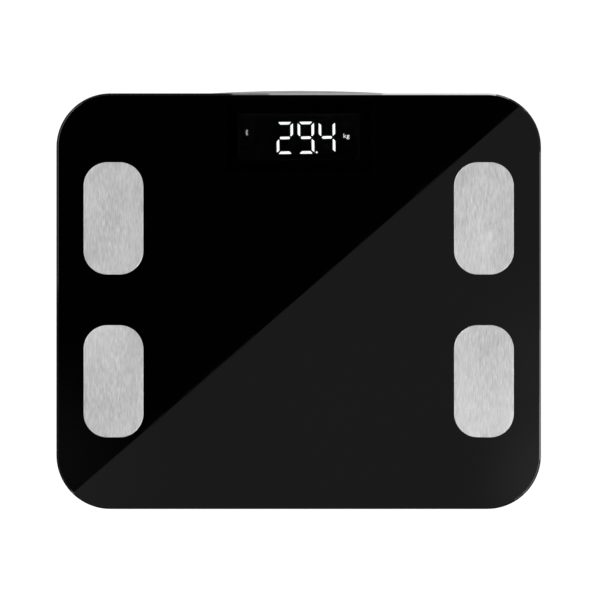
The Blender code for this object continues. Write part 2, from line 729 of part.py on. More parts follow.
def make_casing():
    casing = plate(
        "lower_casing",
        casing_outline(TUB_INSET),
        CASING_BOTTOM,
        FLANGE_BOTTOM + FLANGE_THICKNESS / 2,
        GREY_PLASTIC,
    )
    tub_height = FLANGE_BOTTOM + FLANGE_THICKNESS / 2 - CASING_BOTTOM
    round_rim(casing, -tub_height / 2, TUB_EDGE, 3)
    flange = plate("casing_flange", casing_outline(FLANGE_INSET), FLANGE_BOTTOM, CASING_TOP)
    join(casing, flange)
    cavity = plate(
        "casing_cavity", casing_outline(CAVITY_INSET), FLOOR_TOP, CASING_TOP + OVERSHOOT
    )
    cut(casing, cavity)
    embedded = FLOOR_TOP - FLOOR_THICKNESS / 2

    for corner, (side, end) in CORNERS.items():
        centre = foot_centre(side, end)
        join(casing, cylinder(
            "well_" + corner, WELL_OUTER, embedded, WELL_TOP, centre, segments=FOOT_SEGMENTS
        ))
        cut(
            casing,
            cylinder(
                "well_bore_" + corner,
                WELL_INNER,
                FLOOR_TOP,
                WELL_TOP + OVERSHOOT,
                centre,
                segments=FOOT_SEGMENTS,
            ),
            cylinder(
                "foot_hole_" + corner,
                CUP_RADIUS + CUP_CLEARANCE,
                CASING_BOTTOM - OVERSHOOT,
                FLOOR_TOP + OVERSHOOT,
                centre,
                segments=FOOT_SEGMENTS,
            ),
        )

    join(casing, bay_box("bay_walls", BAY_WALL, BAY_WALL, embedded, BAY_ROOF_TOP))
    below = CASING_BOTTOM - OVERSHOOT
    cut(
        casing,
        bay_box("bay_pocket", 0, 0, below, BAY_ROOF_BOTTOM),
        bay_box(
            "door_recess",
            DOOR_LEDGE + DOOR_CLEARANCE,
            DOOR_LEDGE,
            below,
            DOOR_TOP + GAP,
        ),
        cylinder(
            "finger_recess",
            FINGER_RADIUS,
            below,
            CASING_BOTTOM + FINGER_DEPTH,
            (0, BAY_FRONT - DOOR_LEDGE),
            segments=BATTERY_SEGMENTS,
        ),
    )
    tab_swing = math.hypot(DOOR_TAB_REACH, TAB_TOP - CASING_BOTTOM)
    for side in (-1, 1):
        slot_half = DOOR_TAB_WIDTH / 2 + DOOR_CLEARANCE
        cut(casing, box(
            f"tab_slot_{side}",
            (side * DOOR_TAB_X - slot_half, BAY_REAR - OVERSHOOT, DOOR_TOP + GAP),
            (
                side * DOOR_TAB_X + slot_half,
                BAY_REAR + BAY_WALL + OVERSHOOT,
                CASING_BOTTOM + tab_swing + GAP,
            ),
        ))
        cut(casing, tail_box(f"tail_slot_{side}", side, GAP, 0, None))

    for number, (place, screwed) in enumerate(post_places()):
        join(casing, cylinder(f"post_{number}", POST_RADIUS, embedded, POST_TOP, place))
        if screwed:
            cut(casing, cylinder(
                f"pilot_{number}",
                SCREW_RADIUS + GAP,
                BOARD_TOP + GAP - SCREW_LENGTH - GAP,
                POST_TOP + OVERSHOOT,
                place,
            ))
        else:
            join(casing, cylinder(
                f"peg_{number}", SCREW_RADIUS, POST_TOP - OVERSHOOT, BOARD_TOP, place
            ))

    cut(casing, cylinder(
        "button_hole",
        BUTTON_RADIUS + BUTTON_CLEARANCE,
        below,
        FLOOR_TOP + OVERSHOOT,
        (BUTTON_X, DISPLAY_Y),
        segments=BATTERY_SEGMENTS,
    ))
    smooth(casing, 30)


# ---- Batteries and their contacts ----------------------------------------------------------

def battery_row(number):
    """The height across the bay of a battery's axis, from the front."""
    return BAY_FRONT + BAY_CLEARANCE + BATTERY_DIAMETER / 2 + number * BATTERY_PITCH


def positive_side(number):
    return 1 if number % 2 == 0 else -1


def contact_face(side):
    """Where a contact plate's inner face stands, at one end of the bay."""
    return side * (BAY_LENGTH / 2 - GAP - PLATE_THICKNESS)


def make_battery(number):
    """A cell with its raised positive end against the contact plate."""
    towards = positive_side(number)
    shape = bmesh.new()
    turn = Matrix.Rotation(math.pi / 2, 4, "Y")
    body_length = BATTERY_LENGTH - BATTERY_NUB
    nub_end = contact_face(towards) - towards * GAP
    body_centre = nub_end - towards * (BATTERY_NUB + body_length / 2)
    bmesh.ops.create_cone(
        shape,
        cap_ends=True,
        segments=BATTERY_SEGMENTS,
        radius1=BATTERY_DIAMETER / 2,
        radius2=BATTERY_DIAMETER / 2,
        depth=body_length,
        matrix=turn,
    )
    place = (body_centre, battery_row(number), BATTERY_Z)
    battery = object_from_bmesh(f"battery_{number + 1}", shape, place, BATTERY_SLEEVE)
    smooth(battery)
    nub_shape = bmesh.new()
    bmesh.ops.create_cone(
        nub_shape,
        cap_ends=True,
        segments=SMALL_SEGMENTS,
        radius1=BATTERY_NUB_RADIUS,
        radius2=BATTERY_NUB_RADIUS,
        depth=BATTERY_NUB + OVERSHOOT,
        matrix=turn,
    )
    nub_x = nub_end - towards * (BATTERY_NUB + OVERSHOOT) / 2
    nub_place = (nub_x, battery_row(number), BATTERY_Z)
    join(battery, object_from_bmesh(f"battery_nub_{number + 1}", nub_shape, nub_place, None))


def make_spring(number):
    """The coil that presses a cell's flat end."""
    side = -positive_side(number)
    start = contact_face(side) - side * (GAP + SPRING_WIRE)
    length = SPRING_LENGTH - 2 * SPRING_WIRE
    steps = SPRING_SEGMENTS * SPRING_TURNS
    points = []
    for step in range(steps + 1):
        share = step / steps
        angle = 2 * math.pi * SPRING_TURNS * share
        points.append((
            start - side * length * share,
            battery_row(number) + (SPRING_RADIUS - SPRING_WIRE) * math.cos(angle),
            BATTERY_Z + (SPRING_RADIUS - SPRING_WIRE) * math.sin(angle),
        ))
    wire(f"battery_spring_{number + 1}", points, SPRING_WIRE, PLATED_STEEL)


def tail_box(name, side, margin, proud, material):
    """A terminal's tail through the bay's end wall, or the slot for it."""
    row = battery_row(BATTERY_COUNT - 1 if side > 0 else 0)
    inner = contact_face(side) + side * (PLATE_THICKNESS / 2 if material or proud else 0)
    outer = side * (BAY_OUTER_X + (proud or OVERSHOOT))
    near, far = sorted((inner, outer))
    return box(
        name,
        (near, row - TAIL_WIDTH / 2 - margin, BATTERY_Z - TAIL_THICKNESS / 2 - margin),
        (far, row + TAIL_WIDTH / 2 + margin, BATTERY_Z + TAIL_THICKNESS / 2 + margin),
        material,
    )


def make_contact(name, side, rows):
    """A contact plate across one or two cells. A single one is a terminal with a tail."""
    near, far = sorted((contact_face(side), contact_face(side) + side * PLATE_THICKNESS))
    half = PLATE_HEIGHT / 2
    contact = box(
        name,
        (near, battery_row(min(rows)) - half, BATTERY_Z - half),
        (far, battery_row(max(rows)) + half, BATTERY_Z + half),
        PLATED_STEEL,
    )
    if len(rows) == 1:
        join(contact, tail_box(name + "_tail", side, 0, TAIL_PROUD, None))


def make_batteries():
    last = BATTERY_COUNT - 1
    for number in range(BATTERY_COUNT):
        make_battery(number)
        make_spring(number)
    make_contact("contact_positive", 1, [last])
    make_contact("contact_negative", -1, [0])
    make_contact("contact_bridge_right", 1, [0, 1])
    make_contact("contact_bridge_left", -1, [1, last])


# ---- Battery door --------------------------------------------------------------------------

def make_door():
    """The flush door, hooked under the casing's floor at the rear and latched at the front."""
    axis = bpy.data.objects.new("door_axis", None)
    axis.location = DOOR_AXIS
    PARTS.objects.link(axis)
    half = DOOR_LENGTH / 2
    door = box(
        "battery_door",
        (-half, DOOR_FRONT, CASING_BOTTOM),
        (half, DOOR_REAR, DOOR_TOP),
        GREY_PLASTIC,
    )
    embedded = DOOR_TOP - DOOR_THICKNESS / 2
    riser_rear = BAY_REAR - BAY_CLEARANCE + DOOR_CLEARANCE
    riser_front = riser_rear - DOOR_TAB_RISER
    for side in (-1, 1):
        left = side * DOOR_TAB_X - DOOR_TAB_WIDTH / 2
        right = side * DOOR_TAB_X + DOOR_TAB_WIDTH / 2
        join(
            door,
            box(f"tab_riser_{side}", (left, riser_front, embedded), (right, riser_rear, TAB_TOP)),
            box(
                f"tab_hook_{side}",
                (left + GAP, riser_rear - DOOR_TAB_RISER / 2, TAB_BOTTOM),
                (right - GAP, DOOR_REAR + DOOR_TAB_REACH, TAB_TOP - GAP / 2),
            ),
        )
    latch_front = BAY_FRONT + 2 * DOOR_CLEARANCE
    latch_half = DOOR_LATCH_WIDTH / 2
    join(
        door,
        box(
            "latch_riser",
            (-latch_half, latch_front, embedded),
            (latch_half, latch_front + DOOR_LATCH_THICKNESS, TAB_TOP),
        ),
        box(
            "latch_barb",
            (GAP - latch_half, latch_front - DOOR_BARB, TAB_BOTTOM),
            (latch_half - GAP, latch_front + DOOR_LATCH_THICKNESS / 2, TAB_TOP - GAP),
        ),
    )
    hang(door, axis)


# ---- Electronics ---------------------------------------------------------------------------

def centred_box(name, width, depth, low, high, centre, material=None):
    x, y = centre
    return box(
        name,
        (x - width / 2, y - depth / 2, low),
        (x + width / 2, y + depth / 2, high),
        material,
    )


def make_board():
    middle = (0, DISPLAY_Y)
    board = centred_box(
        "main_board", BOARD_WIDTH, BOARD_DEPTH, BOARD_BOTTOM, BOARD_TOP, middle, BOARD_GREEN
    )
    for number, (place, screwed) in enumerate(post_places()):
        cut(board, cylinder(
            f"board_hole_{number}",
            SCREW_RADIUS + SCREW_CLEARANCE,
            BOARD_BOTTOM - OVERSHOOT,
            BOARD_TOP + OVERSHOOT,
            place,
        ))
        if screwed:
            name = "board_screw_left" if place[0] < 0 else "board_screw_right"
            head_bottom = BOARD_TOP + GAP
            shank_bottom = head_bottom - SCREW_LENGTH
            middle_of_head = head_bottom + SCREW_HEAD / 2
            screw = cylinder(name, SCREW_RADIUS, shank_bottom, middle_of_head, place, PLATED_STEEL)
            join(screw, cylinder(
                name + "_head",
                SCREW_HEAD_RADIUS,
                head_bottom,
                head_bottom + SCREW_HEAD,
                place,
            ))
    display_top = DISPLAY_BOTTOM + DISPLAY_HEIGHT
    centred_box(
        "display_module",
        WINDOW_WIDTH,
        WINDOW_DEPTH,
        DISPLAY_BOTTOM,
        display_top,
        middle,
        WHITE_PLASTIC,
    )
    centred_box(
        "display_diffuser",
        WINDOW_WIDTH,
        WINDOW_DEPTH,
        DIFFUSER_BOTTOM,
        DIFFUSER_BOTTOM + DIFFUSER_THICKNESS,
        middle,
        DARK_PLASTIC,
    )
    under = BOARD_BOTTOM - GAP
    centred_box(
        "measuring_chip",
        CHIP_SIZE,
        CHIP_SIZE,
        under - CHIP_HEIGHT,
        under,
        (CHIP_X, DISPLAY_Y),
        CHIP_BLACK,
    )
    centred_box(
        "radio_module",
        RADIO_WIDTH,
        RADIO_DEPTH,
        under - RADIO_HEIGHT,
        under,
        (RADIO_X, DISPLAY_Y),
        PLATED_STEEL,
    )


def make_unit_button():
    """The units button under the casing, and the switch on the board that it presses."""
    place = (BUTTON_X, DISPLAY_Y)
    switch = centred_box(
        "unit_switch",
        SWITCH_SIZE,
        SWITCH_SIZE,
        SWITCH_BOTTOM,
        SWITCH_BOTTOM + SWITCH_HEIGHT,
        place,
        CHIP_BLACK,
    )
    plunger_top = SWITCH_BOTTOM + PLUNGER_DEPTH
    cut(switch, cylinder(
        "plunger_bore",
        PLUNGER_RADIUS + GAP,
        SWITCH_BOTTOM - OVERSHOOT,
        plunger_top + BUTTON_TRAVEL + GAP,
        place,
    ))
    plunger = cylinder(
        "unit_switch_plunger", PLUNGER_RADIUS, PLUNGER_BOTTOM, plunger_top, place, WHITE_PLASTIC
    )
    button = cylinder(
        "unit_button",
        BUTTON_RADIUS,
        BUTTON_BOTTOM,
        BUTTON_FLANGE_BOTTOM + BUTTON_FLANGE / 2,
        place,
        DARK_PLASTIC,
        BATTERY_SEGMENTS,
    )
    flange_top = BUTTON_FLANGE_BOTTOM + BUTTON_FLANGE
    join(
        button,
        cylinder(
            "button_flange",
            BUTTON_FLANGE_RADIUS,
            BUTTON_FLANGE_BOTTOM,
            flange_top,
            place,
            segments=BATTERY_SEGMENTS,
        ),
        cylinder(
            "button_stem",
            BUTTON_STEM_RADIUS,
            BUTTON_FLANGE_BOTTOM + BUTTON_FLANGE / 2,
            PLUNGER_BOTTOM - GAP,
            place,
        ),
    )
    hang(plunger, button)


# ---- Leads ---------------------------------------------------------------------------------

def make_load_lead(corner, side, end):
    """From a load cell out of its holder, along the floor and up to the board's edge."""
    x, y = foot_centre(side, end)
    low = FLOOR_TOP + LEAD_FLOOR_GAP + LOAD_LEAD_RADIUS
    start_z = (LOAD_CELL_BOTTOM + LOAD_CELL_TOP) / 2
    start_x = x - side * (LOAD_CELL_SIZE / 2 + GAP)
    outside = abs(x) - HOLDER_RADIUS - LEAD_CLEARANCE
    route = [
        (start_x, y, start_z),
        (x - side * WELL_OUTER, y, start_z),
        (side * outside, y, low + LEAD_LIFT),
    ]
    if end > 0:
        board_x = BOARD_WIDTH / 2 + GAP
        route += [
            (side * (outside + board_x) / 2, (y + DISPLAY_Y) / 2 - LEAD_LIFT, low + LEAD_LIFT),
            (side * (board_x + LEAD_STRAIGHT), DISPLAY_Y - LEAD_PITCH, LEAD_END_Z),
            (side * board_x, DISPLAY_Y - LEAD_PITCH, LEAD_END_Z),
        ]
    else:
        lane = BAY_OUTER_X + LOAD_LANE
        board_y = BOARD_FRONT - GAP
        route += [
            (side * (outside + lane) / 2, (3 * y + BAY_FRONT) / 4, low),
            (side * lane, BAY_FRONT - LEAD_CLEARANCE, low),
            (side * lane, BAY_REAR, low),
            (side * (lane - LEAD_SHIFT), board_y - LEAD_STRAIGHT, LEAD_END_Z),
            (side * (lane - LEAD_SHIFT), board_y, LEAD_END_Z),
        ]
    wire("load_cell_lead_" + corner, smooth_route(route), LOAD_LEAD_RADIUS, LEAD_GREY)


def make_electrode_lead(corner, side, end):
    """From an electrode's nut down to the floor and up to the board's edge."""
    foot_x, foot_y = foot_centre(side, end)
    low = FLOOR_TOP + LEAD_FLOOR_GAP + ELECTRODE_LEAD_RADIUS
    start_z = GLASS_BOTTOM - GAP - NUT_THICKNESS / 2
    start_x = ELECTRODE_X - NUT_RADIUS - GAP
    inside = abs(foot_x) - HOLDER_RADIUS - LEAD_CLEARANCE
    y = end * STUD_Y
    route = [
        (side * start_x, y, start_z),
        (side * (start_x - LEAD_STRAIGHT), y, start_z),
        (side * inside, (3 * y + foot_y) / 4, low + LEAD_LIFT),
    ]
    if end > 0:
        board_x = BOARD_WIDTH / 2 + GAP
        target_y = BOARD_FRONT + LEAD_PITCH
        route += [
            (side * (inside + board_x) / 2, foot_y - HOLDER_RADIUS / 2, low),
            (side * (board_x + LEAD_STRAIGHT), target_y, LEAD_END_Z),
            (side * board_x, target_y, LEAD_END_Z),
        ]
    else:
        lane = BAY_OUTER_X + ELECTRODE_LANE
        board_y = BOARD_FRONT - GAP
        route += [
            (side * (inside + lane) / 2, y, low),
            (side * lane, BAY_FRONT + LEAD_CLEARANCE, low),
            (side * lane, BAY_REAR, low),
            (side * (lane - 2 * LEAD_SHIFT), board_y - LEAD_STRAIGHT, LEAD_END_Z),
            (side * (lane - 2 * LEAD_SHIFT), board_y, LEAD_END_Z),
        ]
    wire("electrode_lead_" + corner, smooth_route(route), ELECTRODE_LEAD_RADIUS, LEAD_BLACK)


def make_battery_lead(name, side, material):
    """From a battery terminal's tail to the board's front edge."""
    row = battery_row(BATTERY_COUNT - 1 if side > 0 else 0)
    low = FLOOR_TOP + LEAD_FLOOR_GAP + BATTERY_LEAD_RADIUS
    start_x = BAY_OUTER_X + TAIL_PROUD + GAP
    board_x = start_x - 2 * LEAD_SHIFT
    board_y = BOARD_FRONT - GAP
    route = [
        (side * start_x, row, BATTERY_Z),
        (side * (start_x + LEAD_STRAIGHT / 2), row, BATTERY_Z),
        (side * (start_x + LEAD_STRAIGHT), row + 2 * LEAD_STRAIGHT, low + LEAD_LIFT),
        (side * start_x, BAY_REAR + 2 * LEAD_STRAIGHT, low),
        (side * board_x, board_y - LEAD_STRAIGHT, LEAD_END_Z),
        (side * board_x, board_y, LEAD_END_Z),
    ]
    wire(name, smooth_route(route), BATTERY_LEAD_RADIUS, material)


# ---- Assembly ------------------------------------------------------------------------------

make_glass()
make_tape()
make_casing()
for corner_name, (corner_side, corner_end) in CORNERS.items():
    make_electrode(corner_name, corner_side, corner_end)
    make_foot(corner_name, corner_side, corner_end)
    make_load_cell(corner_name, corner_side, corner_end)
    make_holder(corner_name, corner_side, corner_end)
    make_load_lead(corner_name, corner_side, corner_end)
    make_electrode_lead(corner_name, corner_side, corner_end)
make_batteries()
make_door()
make_board()
make_unit_button()
make_battery_lead("battery_lead_positive", 1, LEAD_RED)
make_battery_lead("battery_lead_negative", -1, LEAD_BLACK)
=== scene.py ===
"""Looks for a glass-topped digital bathroom scale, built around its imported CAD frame.

Metres, +Z up, the floor at z = 0. +X is to the right of someone reading the display and +Y is away from them.
"""

import json
import math

import bmesh
import bpy
from mathutils import Matrix, Vector


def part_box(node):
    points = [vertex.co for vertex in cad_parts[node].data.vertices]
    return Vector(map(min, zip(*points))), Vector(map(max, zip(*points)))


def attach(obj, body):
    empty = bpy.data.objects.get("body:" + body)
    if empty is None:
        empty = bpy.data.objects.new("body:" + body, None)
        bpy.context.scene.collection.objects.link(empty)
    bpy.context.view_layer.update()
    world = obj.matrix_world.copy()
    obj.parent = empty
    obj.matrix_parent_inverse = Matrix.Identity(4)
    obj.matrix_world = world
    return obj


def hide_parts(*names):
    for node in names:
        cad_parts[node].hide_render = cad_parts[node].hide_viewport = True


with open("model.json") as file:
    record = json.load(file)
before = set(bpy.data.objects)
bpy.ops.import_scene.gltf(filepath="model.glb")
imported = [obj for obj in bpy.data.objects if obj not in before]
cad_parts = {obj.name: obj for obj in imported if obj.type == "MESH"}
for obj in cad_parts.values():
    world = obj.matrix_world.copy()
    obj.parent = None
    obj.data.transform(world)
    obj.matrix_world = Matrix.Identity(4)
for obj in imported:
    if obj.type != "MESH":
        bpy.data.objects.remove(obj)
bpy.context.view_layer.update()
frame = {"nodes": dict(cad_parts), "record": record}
nodes = frame["nodes"]

CORNERS = ("front_left", "front_right", "rear_left", "rear_right")
MM = 0.001

# Glass platform
GLASS_CORNER = 33.4 * MM
GLASS_CORNER_STEPS = 24
GLASS_BEVEL = 1.0 * MM
GLASS_BEVEL_ROUND = 0.12 * MM
GLASS_BEVEL_EASE = 0.036 * MM
GLASS_UNDER_BEVEL = 0.6 * MM
GLASS_IOR = 1.52
GLASS_SHARP_ANGLE = 25
WINDOW_CORNER = 0.8 * MM
WINDOW_STEPS = 4
WINDOW_MARGIN = 7.0 * MM            # clear glass round the window, for slanting views of it
CLEAR_SLOT = 0
EDGE_SLOT = 1
PRINT_SLOT = 2
BACKED_SLOT = 3

# Steel electrodes
ELECTRODE_CORNER = 14.8 * MM
ELECTRODE_CORNER_STEPS = 20
ELECTRODE_ROUND = 0.22 * MM
ELECTRODE_ROUND_STEPS = 4
ELECTRODE_UNDER_BEVEL = 0.1 * MM
ELECTRODE_GAP = 0.3 * MM            # between the glass and the plate
ELECTRODE_SHARP_ANGLE = 50
STUD_RADIUS = 1.5 * MM
STUD_SEGMENTS = 32

# Rubber foot pads
RUBBER_EDGE = 0.9 * MM
RUBBER_EDGE_STEPS = 5
RUBBER_TOP_BEVEL = 0.2 * MM
GROOVE_FIRST = 3.0 * MM             # the innermost groove's radius
GROOVE_PITCH = 2.6 * MM
GROOVE_DEPTH = 0.5 * MM
GROOVE_HALF_MOUTH = 0.5 * MM
GROOVE_HALF_FLOOR = 0.3 * MM
GROOVE_MARGIN = 1.6 * MM            # from the outermost groove to the rounded edge, at least
TURNED_SEGMENTS = 96

# Lit display
READING = "294"
LIT_SEGMENTS = {"2": "abged", "9": "abcdfg", "4": "fgbc"}
DIGITS_BEFORE_POINT = 2
DIGIT_PITCH = 13.04 * MM
DIGIT_RISE = 9.1 * MM               # from a digit's middle bar to its top and bottom bars
DIGIT_SPREAD = 4.3 * MM             # from a digit's middle to its upright bars
FIRST_DIGIT_X = -8.55 * MM          # the first lit digit, from the middle of the display
DIGITS_Y = -0.67 * MM               # the digits' middle bars, from the middle of the display
SEGMENT_WIDTH = 1.62 * MM
SEGMENT_GAP = 0.45 * MM
SEGMENT_TAPER = 1.25 * MM           # how much shorter a bar is along its inner side
SEGMENT_TIP = 0.25 * MM
SEGMENT_SHOULDER = 0.75             # the middle bar's pointed end, as a share of half its width
POINT_RADIUS = 0.62 * MM
POINT_SEGMENTS = 24
UNIT_HEIGHT = 3.7 * MM
UNIT_STRETCH = 1.1
UNIT_BOLDNESS = 0.03 * MM
UNIT_SPACING = 1.12
UNIT_OFFSET = 27.5 * MM             # along X from the middle of the display, as is the next
SIGNAL_OFFSET = -32.8 * MM
SIGNAL_RISE = 0.36                  # above the middle bars, as a share of DIGIT_RISE
SIGNAL_RADIUS = 3.0 * MM
SIGNAL_WIDTH = 1.1 * MM
SIGNAL_ARC = math.radians(80)
SIGNAL_STEPS = 12
LEDGE_WIDTH = 1.6 * MM
LEDGE_SIDE_WIDTH = 0.64 * MM
READING_TILT = math.radians(0.8)    # the module sits a little askew under the glass
LIT_LIFT = 0.06 * MM
LIT_THICKNESS = 0.12 * MM
READING_LIGHT = (0.84, 0.96)
UNIT_LIGHT = (0.6, 0.8)
SIGNAL_LIGHT = (0.08, 0.14)

# Battery print
BATTERY_BAND = 13.0 * MM
BATTERY_CAP = 1.6 * MM
EDGE_OF_PRINT = 0.1 * MM

# Colours, each pair from its darker to its lighter end
STEEL_COLOURS = ((0.51, 0.51, 0.51), (0.70, 0.70, 0.70))
CLEAR_GLASS_COLOURS = ((0.93, 0.95, 0.94), (0.95, 0.97, 0.96))
BLACK_PRINT_COLOURS = ((0.0001, 0.0001, 0.0001), (0.0004, 0.0004, 0.0004))
GROUND_EDGE_COLOURS = ((0.0005, 0.0012, 0.001), (0.001, 0.003, 0.0025))
SMOKED_COLOURS = ((0.0006, 0.0006, 0.0006), (0.0034, 0.0034, 0.0035))
LEDGE_COLOURS = ((0.0040, 0.0040, 0.0041), (0.0065, 0.0065, 0.0067))
UNLIT_COLOURS = ((0.0012, 0.0012, 0.0013), (0.0020, 0.0020, 0.0021))
FOAM_COLOURS = ((0.01, 0.01, 0.01), (0.03, 0.03, 0.03))
BATTERY_COLOURS = ((0.022, 0.075, 0.22), (0.026, 0.085, 0.24))
BATTERY_BAND_COLOUR = (0.55, 0.54, 0.50)
BATTERY_CAP_COLOUR = (0.72, 0.72, 0.70)
BOARD_COLOURS = ((0.015, 0.13, 0.045), (0.02, 0.17, 0.06))
BOARD_LINE_COLOUR = (0.008, 0.075, 0.028)
SEGMENT_COLOUR = (0.5, 0.5, 0.5)
LIT_COLOUR = (0.97, 0.985, 1.0)
WHITE = (1.0, 1.0, 1.0)

# Node and mesh settings
NOISE_RANGE = (0.3, 0.7)            # where nearly all of a noise texture's values lie
BEVEL_SAMPLES = 4
SHARP_ANGLE = 30
LEVEL = 0.9999                      # a face this close to level is shaded flat
SMALLEST_RADIUS = 0.01 * MM
ON_AXIS = 0.001 * MM
WELD_REACH = 0.001 * MM
PLAN_SCALE = 10
PLAN_OFFSET = 2

# Camera, floor, surround and world
CAMERA_DISTANCE = 5.0
CAMERA_X = 0.8 * MM
CAMERA_Y = -0.12 * MM
CAMERA_REACH = 200.0
FRAME_WIDTH = 0.37128
SENSOR_WIDTH = 36.0
FLOOR_HALF = 40.0
FLOOR_COLOUR = (0.16, 0.16, 0.16)
FLOOR_GLOW = 0.91
DOME_RADIUS = 12.0
WORLD_LIGHT = 0.7
UNDER_LIGHT = 0.3
HORIZON = 0.2

# Ceiling with its softbox, whose edge and glows are given as they are mirrored on the glass
CEILING_HEIGHT = 8.0
CEILING_LEFT = -2.4
CEILING_RIGHT = 0.8
CEILING_HALF_DEPTH = 0.8
MIRROR_HEIGHT = 25.0 * MM
SOFTBOX_SLOPE = 0.8666
SOFTBOX_OFFSET = 1.9 * MM
SOFTBOX_EDGE = 0.2 * MM
SOFTBOX_LIGHT = 0.238
# Each glow's middle, reach and strength
CEILING_GLOWS = (
    ((0.155, -0.115, 0), 0.055, 0.22),
    ((0.165, -0.05, 0), 0.08, 0.12),
    ((-0.165, -0.10, 0), 0.09, 0.07),
)

# Low cards round the glass: each one's name, its start and end along its side, and its strength
CARD_X = 0.40
CARD_Y = 0.38
CARD_LOW = 4.0 * MM
CARD_HIGH = 34.0 * MM
STRIP_REACH = 0.45                  # how far out the strip in front of a card starts, as a share
RIGHT_CARDS = (
    ("right_card_front", -0.125, -0.02, 3.2),
    ("right_card_rear", -0.02, 0.10, 1.9),
    ("right_flag_rear", 0.10, 0.35, 0.3),
    ("right_flag_front", -0.35, -0.125, 0.5),
)
REAR_CARDS = (
    ("rear_card", 0.056, 0.17, 12.0),
    ("rear_card_fade", 0.17, 0.25, 3.0),
    ("rear_flag_right", 0.25, 0.38, 0.3),
    ("rear_card_left", -0.02, 0.056, 7.0),
    ("rear_card_left_fade", -0.045, -0.02, 3.0),
    ("rear_flag_left", -0.38, -0.045, 0.1),
)
LEFT_CARDS = (("left_flag", -0.35, 0.35, 0.1),)
FRONT_CARDS = (("front_flag", -0.38, 0.38, 0.05),)

# Wall of slanting light panels
WALL_RADIUS = 1.0
WALL_HEIGHT = 1.0
WALL_SEGMENTS = 96
WALL_DARK = 0.03
WALL_BRIGHT = 0.9
WALL_FADE = (0.06, 0.3)             # the heights between which the panels come up from dark
PANELS = 7
PANEL_LEAN = 0.5
PANEL_EDGE = 0.02

# Soft lights: each one's name, azimuth and elevation in degrees, distance, size, and power in watts
SOFT_LIGHTS = (
    ("key_light", -30, 50, 2.5, 1.4, 38),
    ("fill_light", 152, 42, 3.0, 1.8, 61),
    ("under_light", 230, -40, 2.5, 1.4, 22),
)


# ---------------------------------------------------------------- node helpers


def blank_material(name):
    """A node material with nothing but its output."""
    material = bpy.data.materials.new(name)
    material.use_nodes = True
    tree = material.node_tree
    tree.nodes.clear()
    output = tree.nodes.new("ShaderNodeOutputMaterial")
    return material, tree, output.inputs["Surface"]


def new_material(name):
    """A node material with a plain shader, ready for more nodes."""
    material, tree, surface = blank_material(name)
    shader = tree.nodes.new("ShaderNodeBsdfPrincipled")
    tree.links.new(shader.outputs["BSDF"], surface)
    return material, tree, shader


def place_coordinates(tree, scale=(1, 1, 1)):
    """Object coordinates stretched by scale along each axis."""
    source = tree.nodes.new("ShaderNodeTexCoord")
    mapping = tree.nodes.new("ShaderNodeMapping")
    mapping.inputs["Scale"].default_value = scale
    tree.links.new(source.outputs["Object"], mapping.inputs["Vector"])
    return mapping.outputs["Vector"]


def axis_of(tree, vector, axis):
    """A vector's value along one axis."""
    split = tree.nodes.new("ShaderNodeSeparateXYZ")
    tree.links.new(vector, split.inputs["Vector"])
    return split.outputs[axis]


def noise(tree, vector, scale, detail=2.0, rough=0.5):
    """A noise texture's value."""
    node = tree.nodes.new("ShaderNodeTexNoise")
    node.inputs["Scale"].default_value = scale
    node.inputs["Detail"].default_value = detail
    node.inputs["Roughness"].default_value = rough
    tree.links.new(vector, node.inputs["Vector"])
    return node.outputs["Fac"]


def remap(tree, value, low, high, source=NOISE_RANGE):
    """value carried from its source range to low..high, held inside it."""
    node = tree.nodes.new("ShaderNodeMapRange")
    node.inputs["From Min"].default_value = source[0]
    node.inputs["From Max"].default_value = source[1]
    node.inputs["To Min"].default_value = low
    node.inputs["To Max"].default_value = high
    tree.links.new(value, node.inputs["Value"])
    return node.outputs["Result"]


def two_tone(tree, value, dark, light):
    """A colour between dark and light by value."""
    node = tree.nodes.new("ShaderNodeMix")
    node.data_type = "RGBA"
    node.inputs["A"].default_value = (*dark, 1.0)
    node.inputs["B"].default_value = (*light, 1.0)
    tree.links.new(value, node.inputs["Factor"])
    return node.outputs["Result"]


def print_over(tree, base, colour, share):
    """A colour printed over a base colour where share is one."""
    node = tree.nodes.new("ShaderNodeMix")
    node.data_type = "RGBA"
    node.inputs["B"].default_value = (*colour, 1.0)
    tree.links.new(base, node.inputs["A"])
    tree.links.new(share, node.inputs["Factor"])
    return node.outputs["Result"]


def sum_of(tree, a, b, share):
    """a mixed with b by share."""
    node = tree.nodes.new("ShaderNodeMix")
    node.data_type = "FLOAT"
    node.inputs["Factor"].default_value = share
    tree.links.new(a, node.inputs["A"])
    tree.links.new(b, node.inputs["B"])
    return node.outputs["Result"]


def math_node(tree, kind, a, b=0.0):
    """One sum on two values, each a number or another node's output."""
    node = tree.nodes.new("ShaderNodeMath")
    node.operation = kind
    for socket, value in zip(node.inputs, (a, b)):
        if isinstance(value, (int, float)):
            socket.default_value = value
        else:
            tree.links.new(value, socket)
    return node.outputs["Value"]


def paint(tree, shader, value, colours):
    """Gives the shader a base colour between its two colours by value."""
    tree.links.new(two_tone(tree, value, *colours), shader.inputs["Base Color"])


def gloss(tree, shader, value, low, high):
    """Gives the shader a roughness between low and high by a noise value."""
    tree.links.new(remap(tree, value, low, high), shader.inputs["Roughness"])


def bump(tree, shader, height, distance, strength=1.0, edge=0.0):
    """Roughens the surface by height over distance metres, and rounds its edges by edge metres."""
    node = tree.nodes.new("ShaderNodeBump")
    node.inputs["Distance"].default_value = distance
    node.inputs["Strength"].default_value = strength
    tree.links.new(height, node.inputs["Height"])
    if edge > 0:
        rounding = tree.nodes.new("ShaderNodeBevel")
        rounding.samples = BEVEL_SAMPLES
        rounding.inputs["Radius"].default_value = edge
        tree.links.new(rounding.outputs["Normal"], node.inputs["Normal"])
    tree.links.new(node.outputs["Normal"], shader.inputs["Normal"])


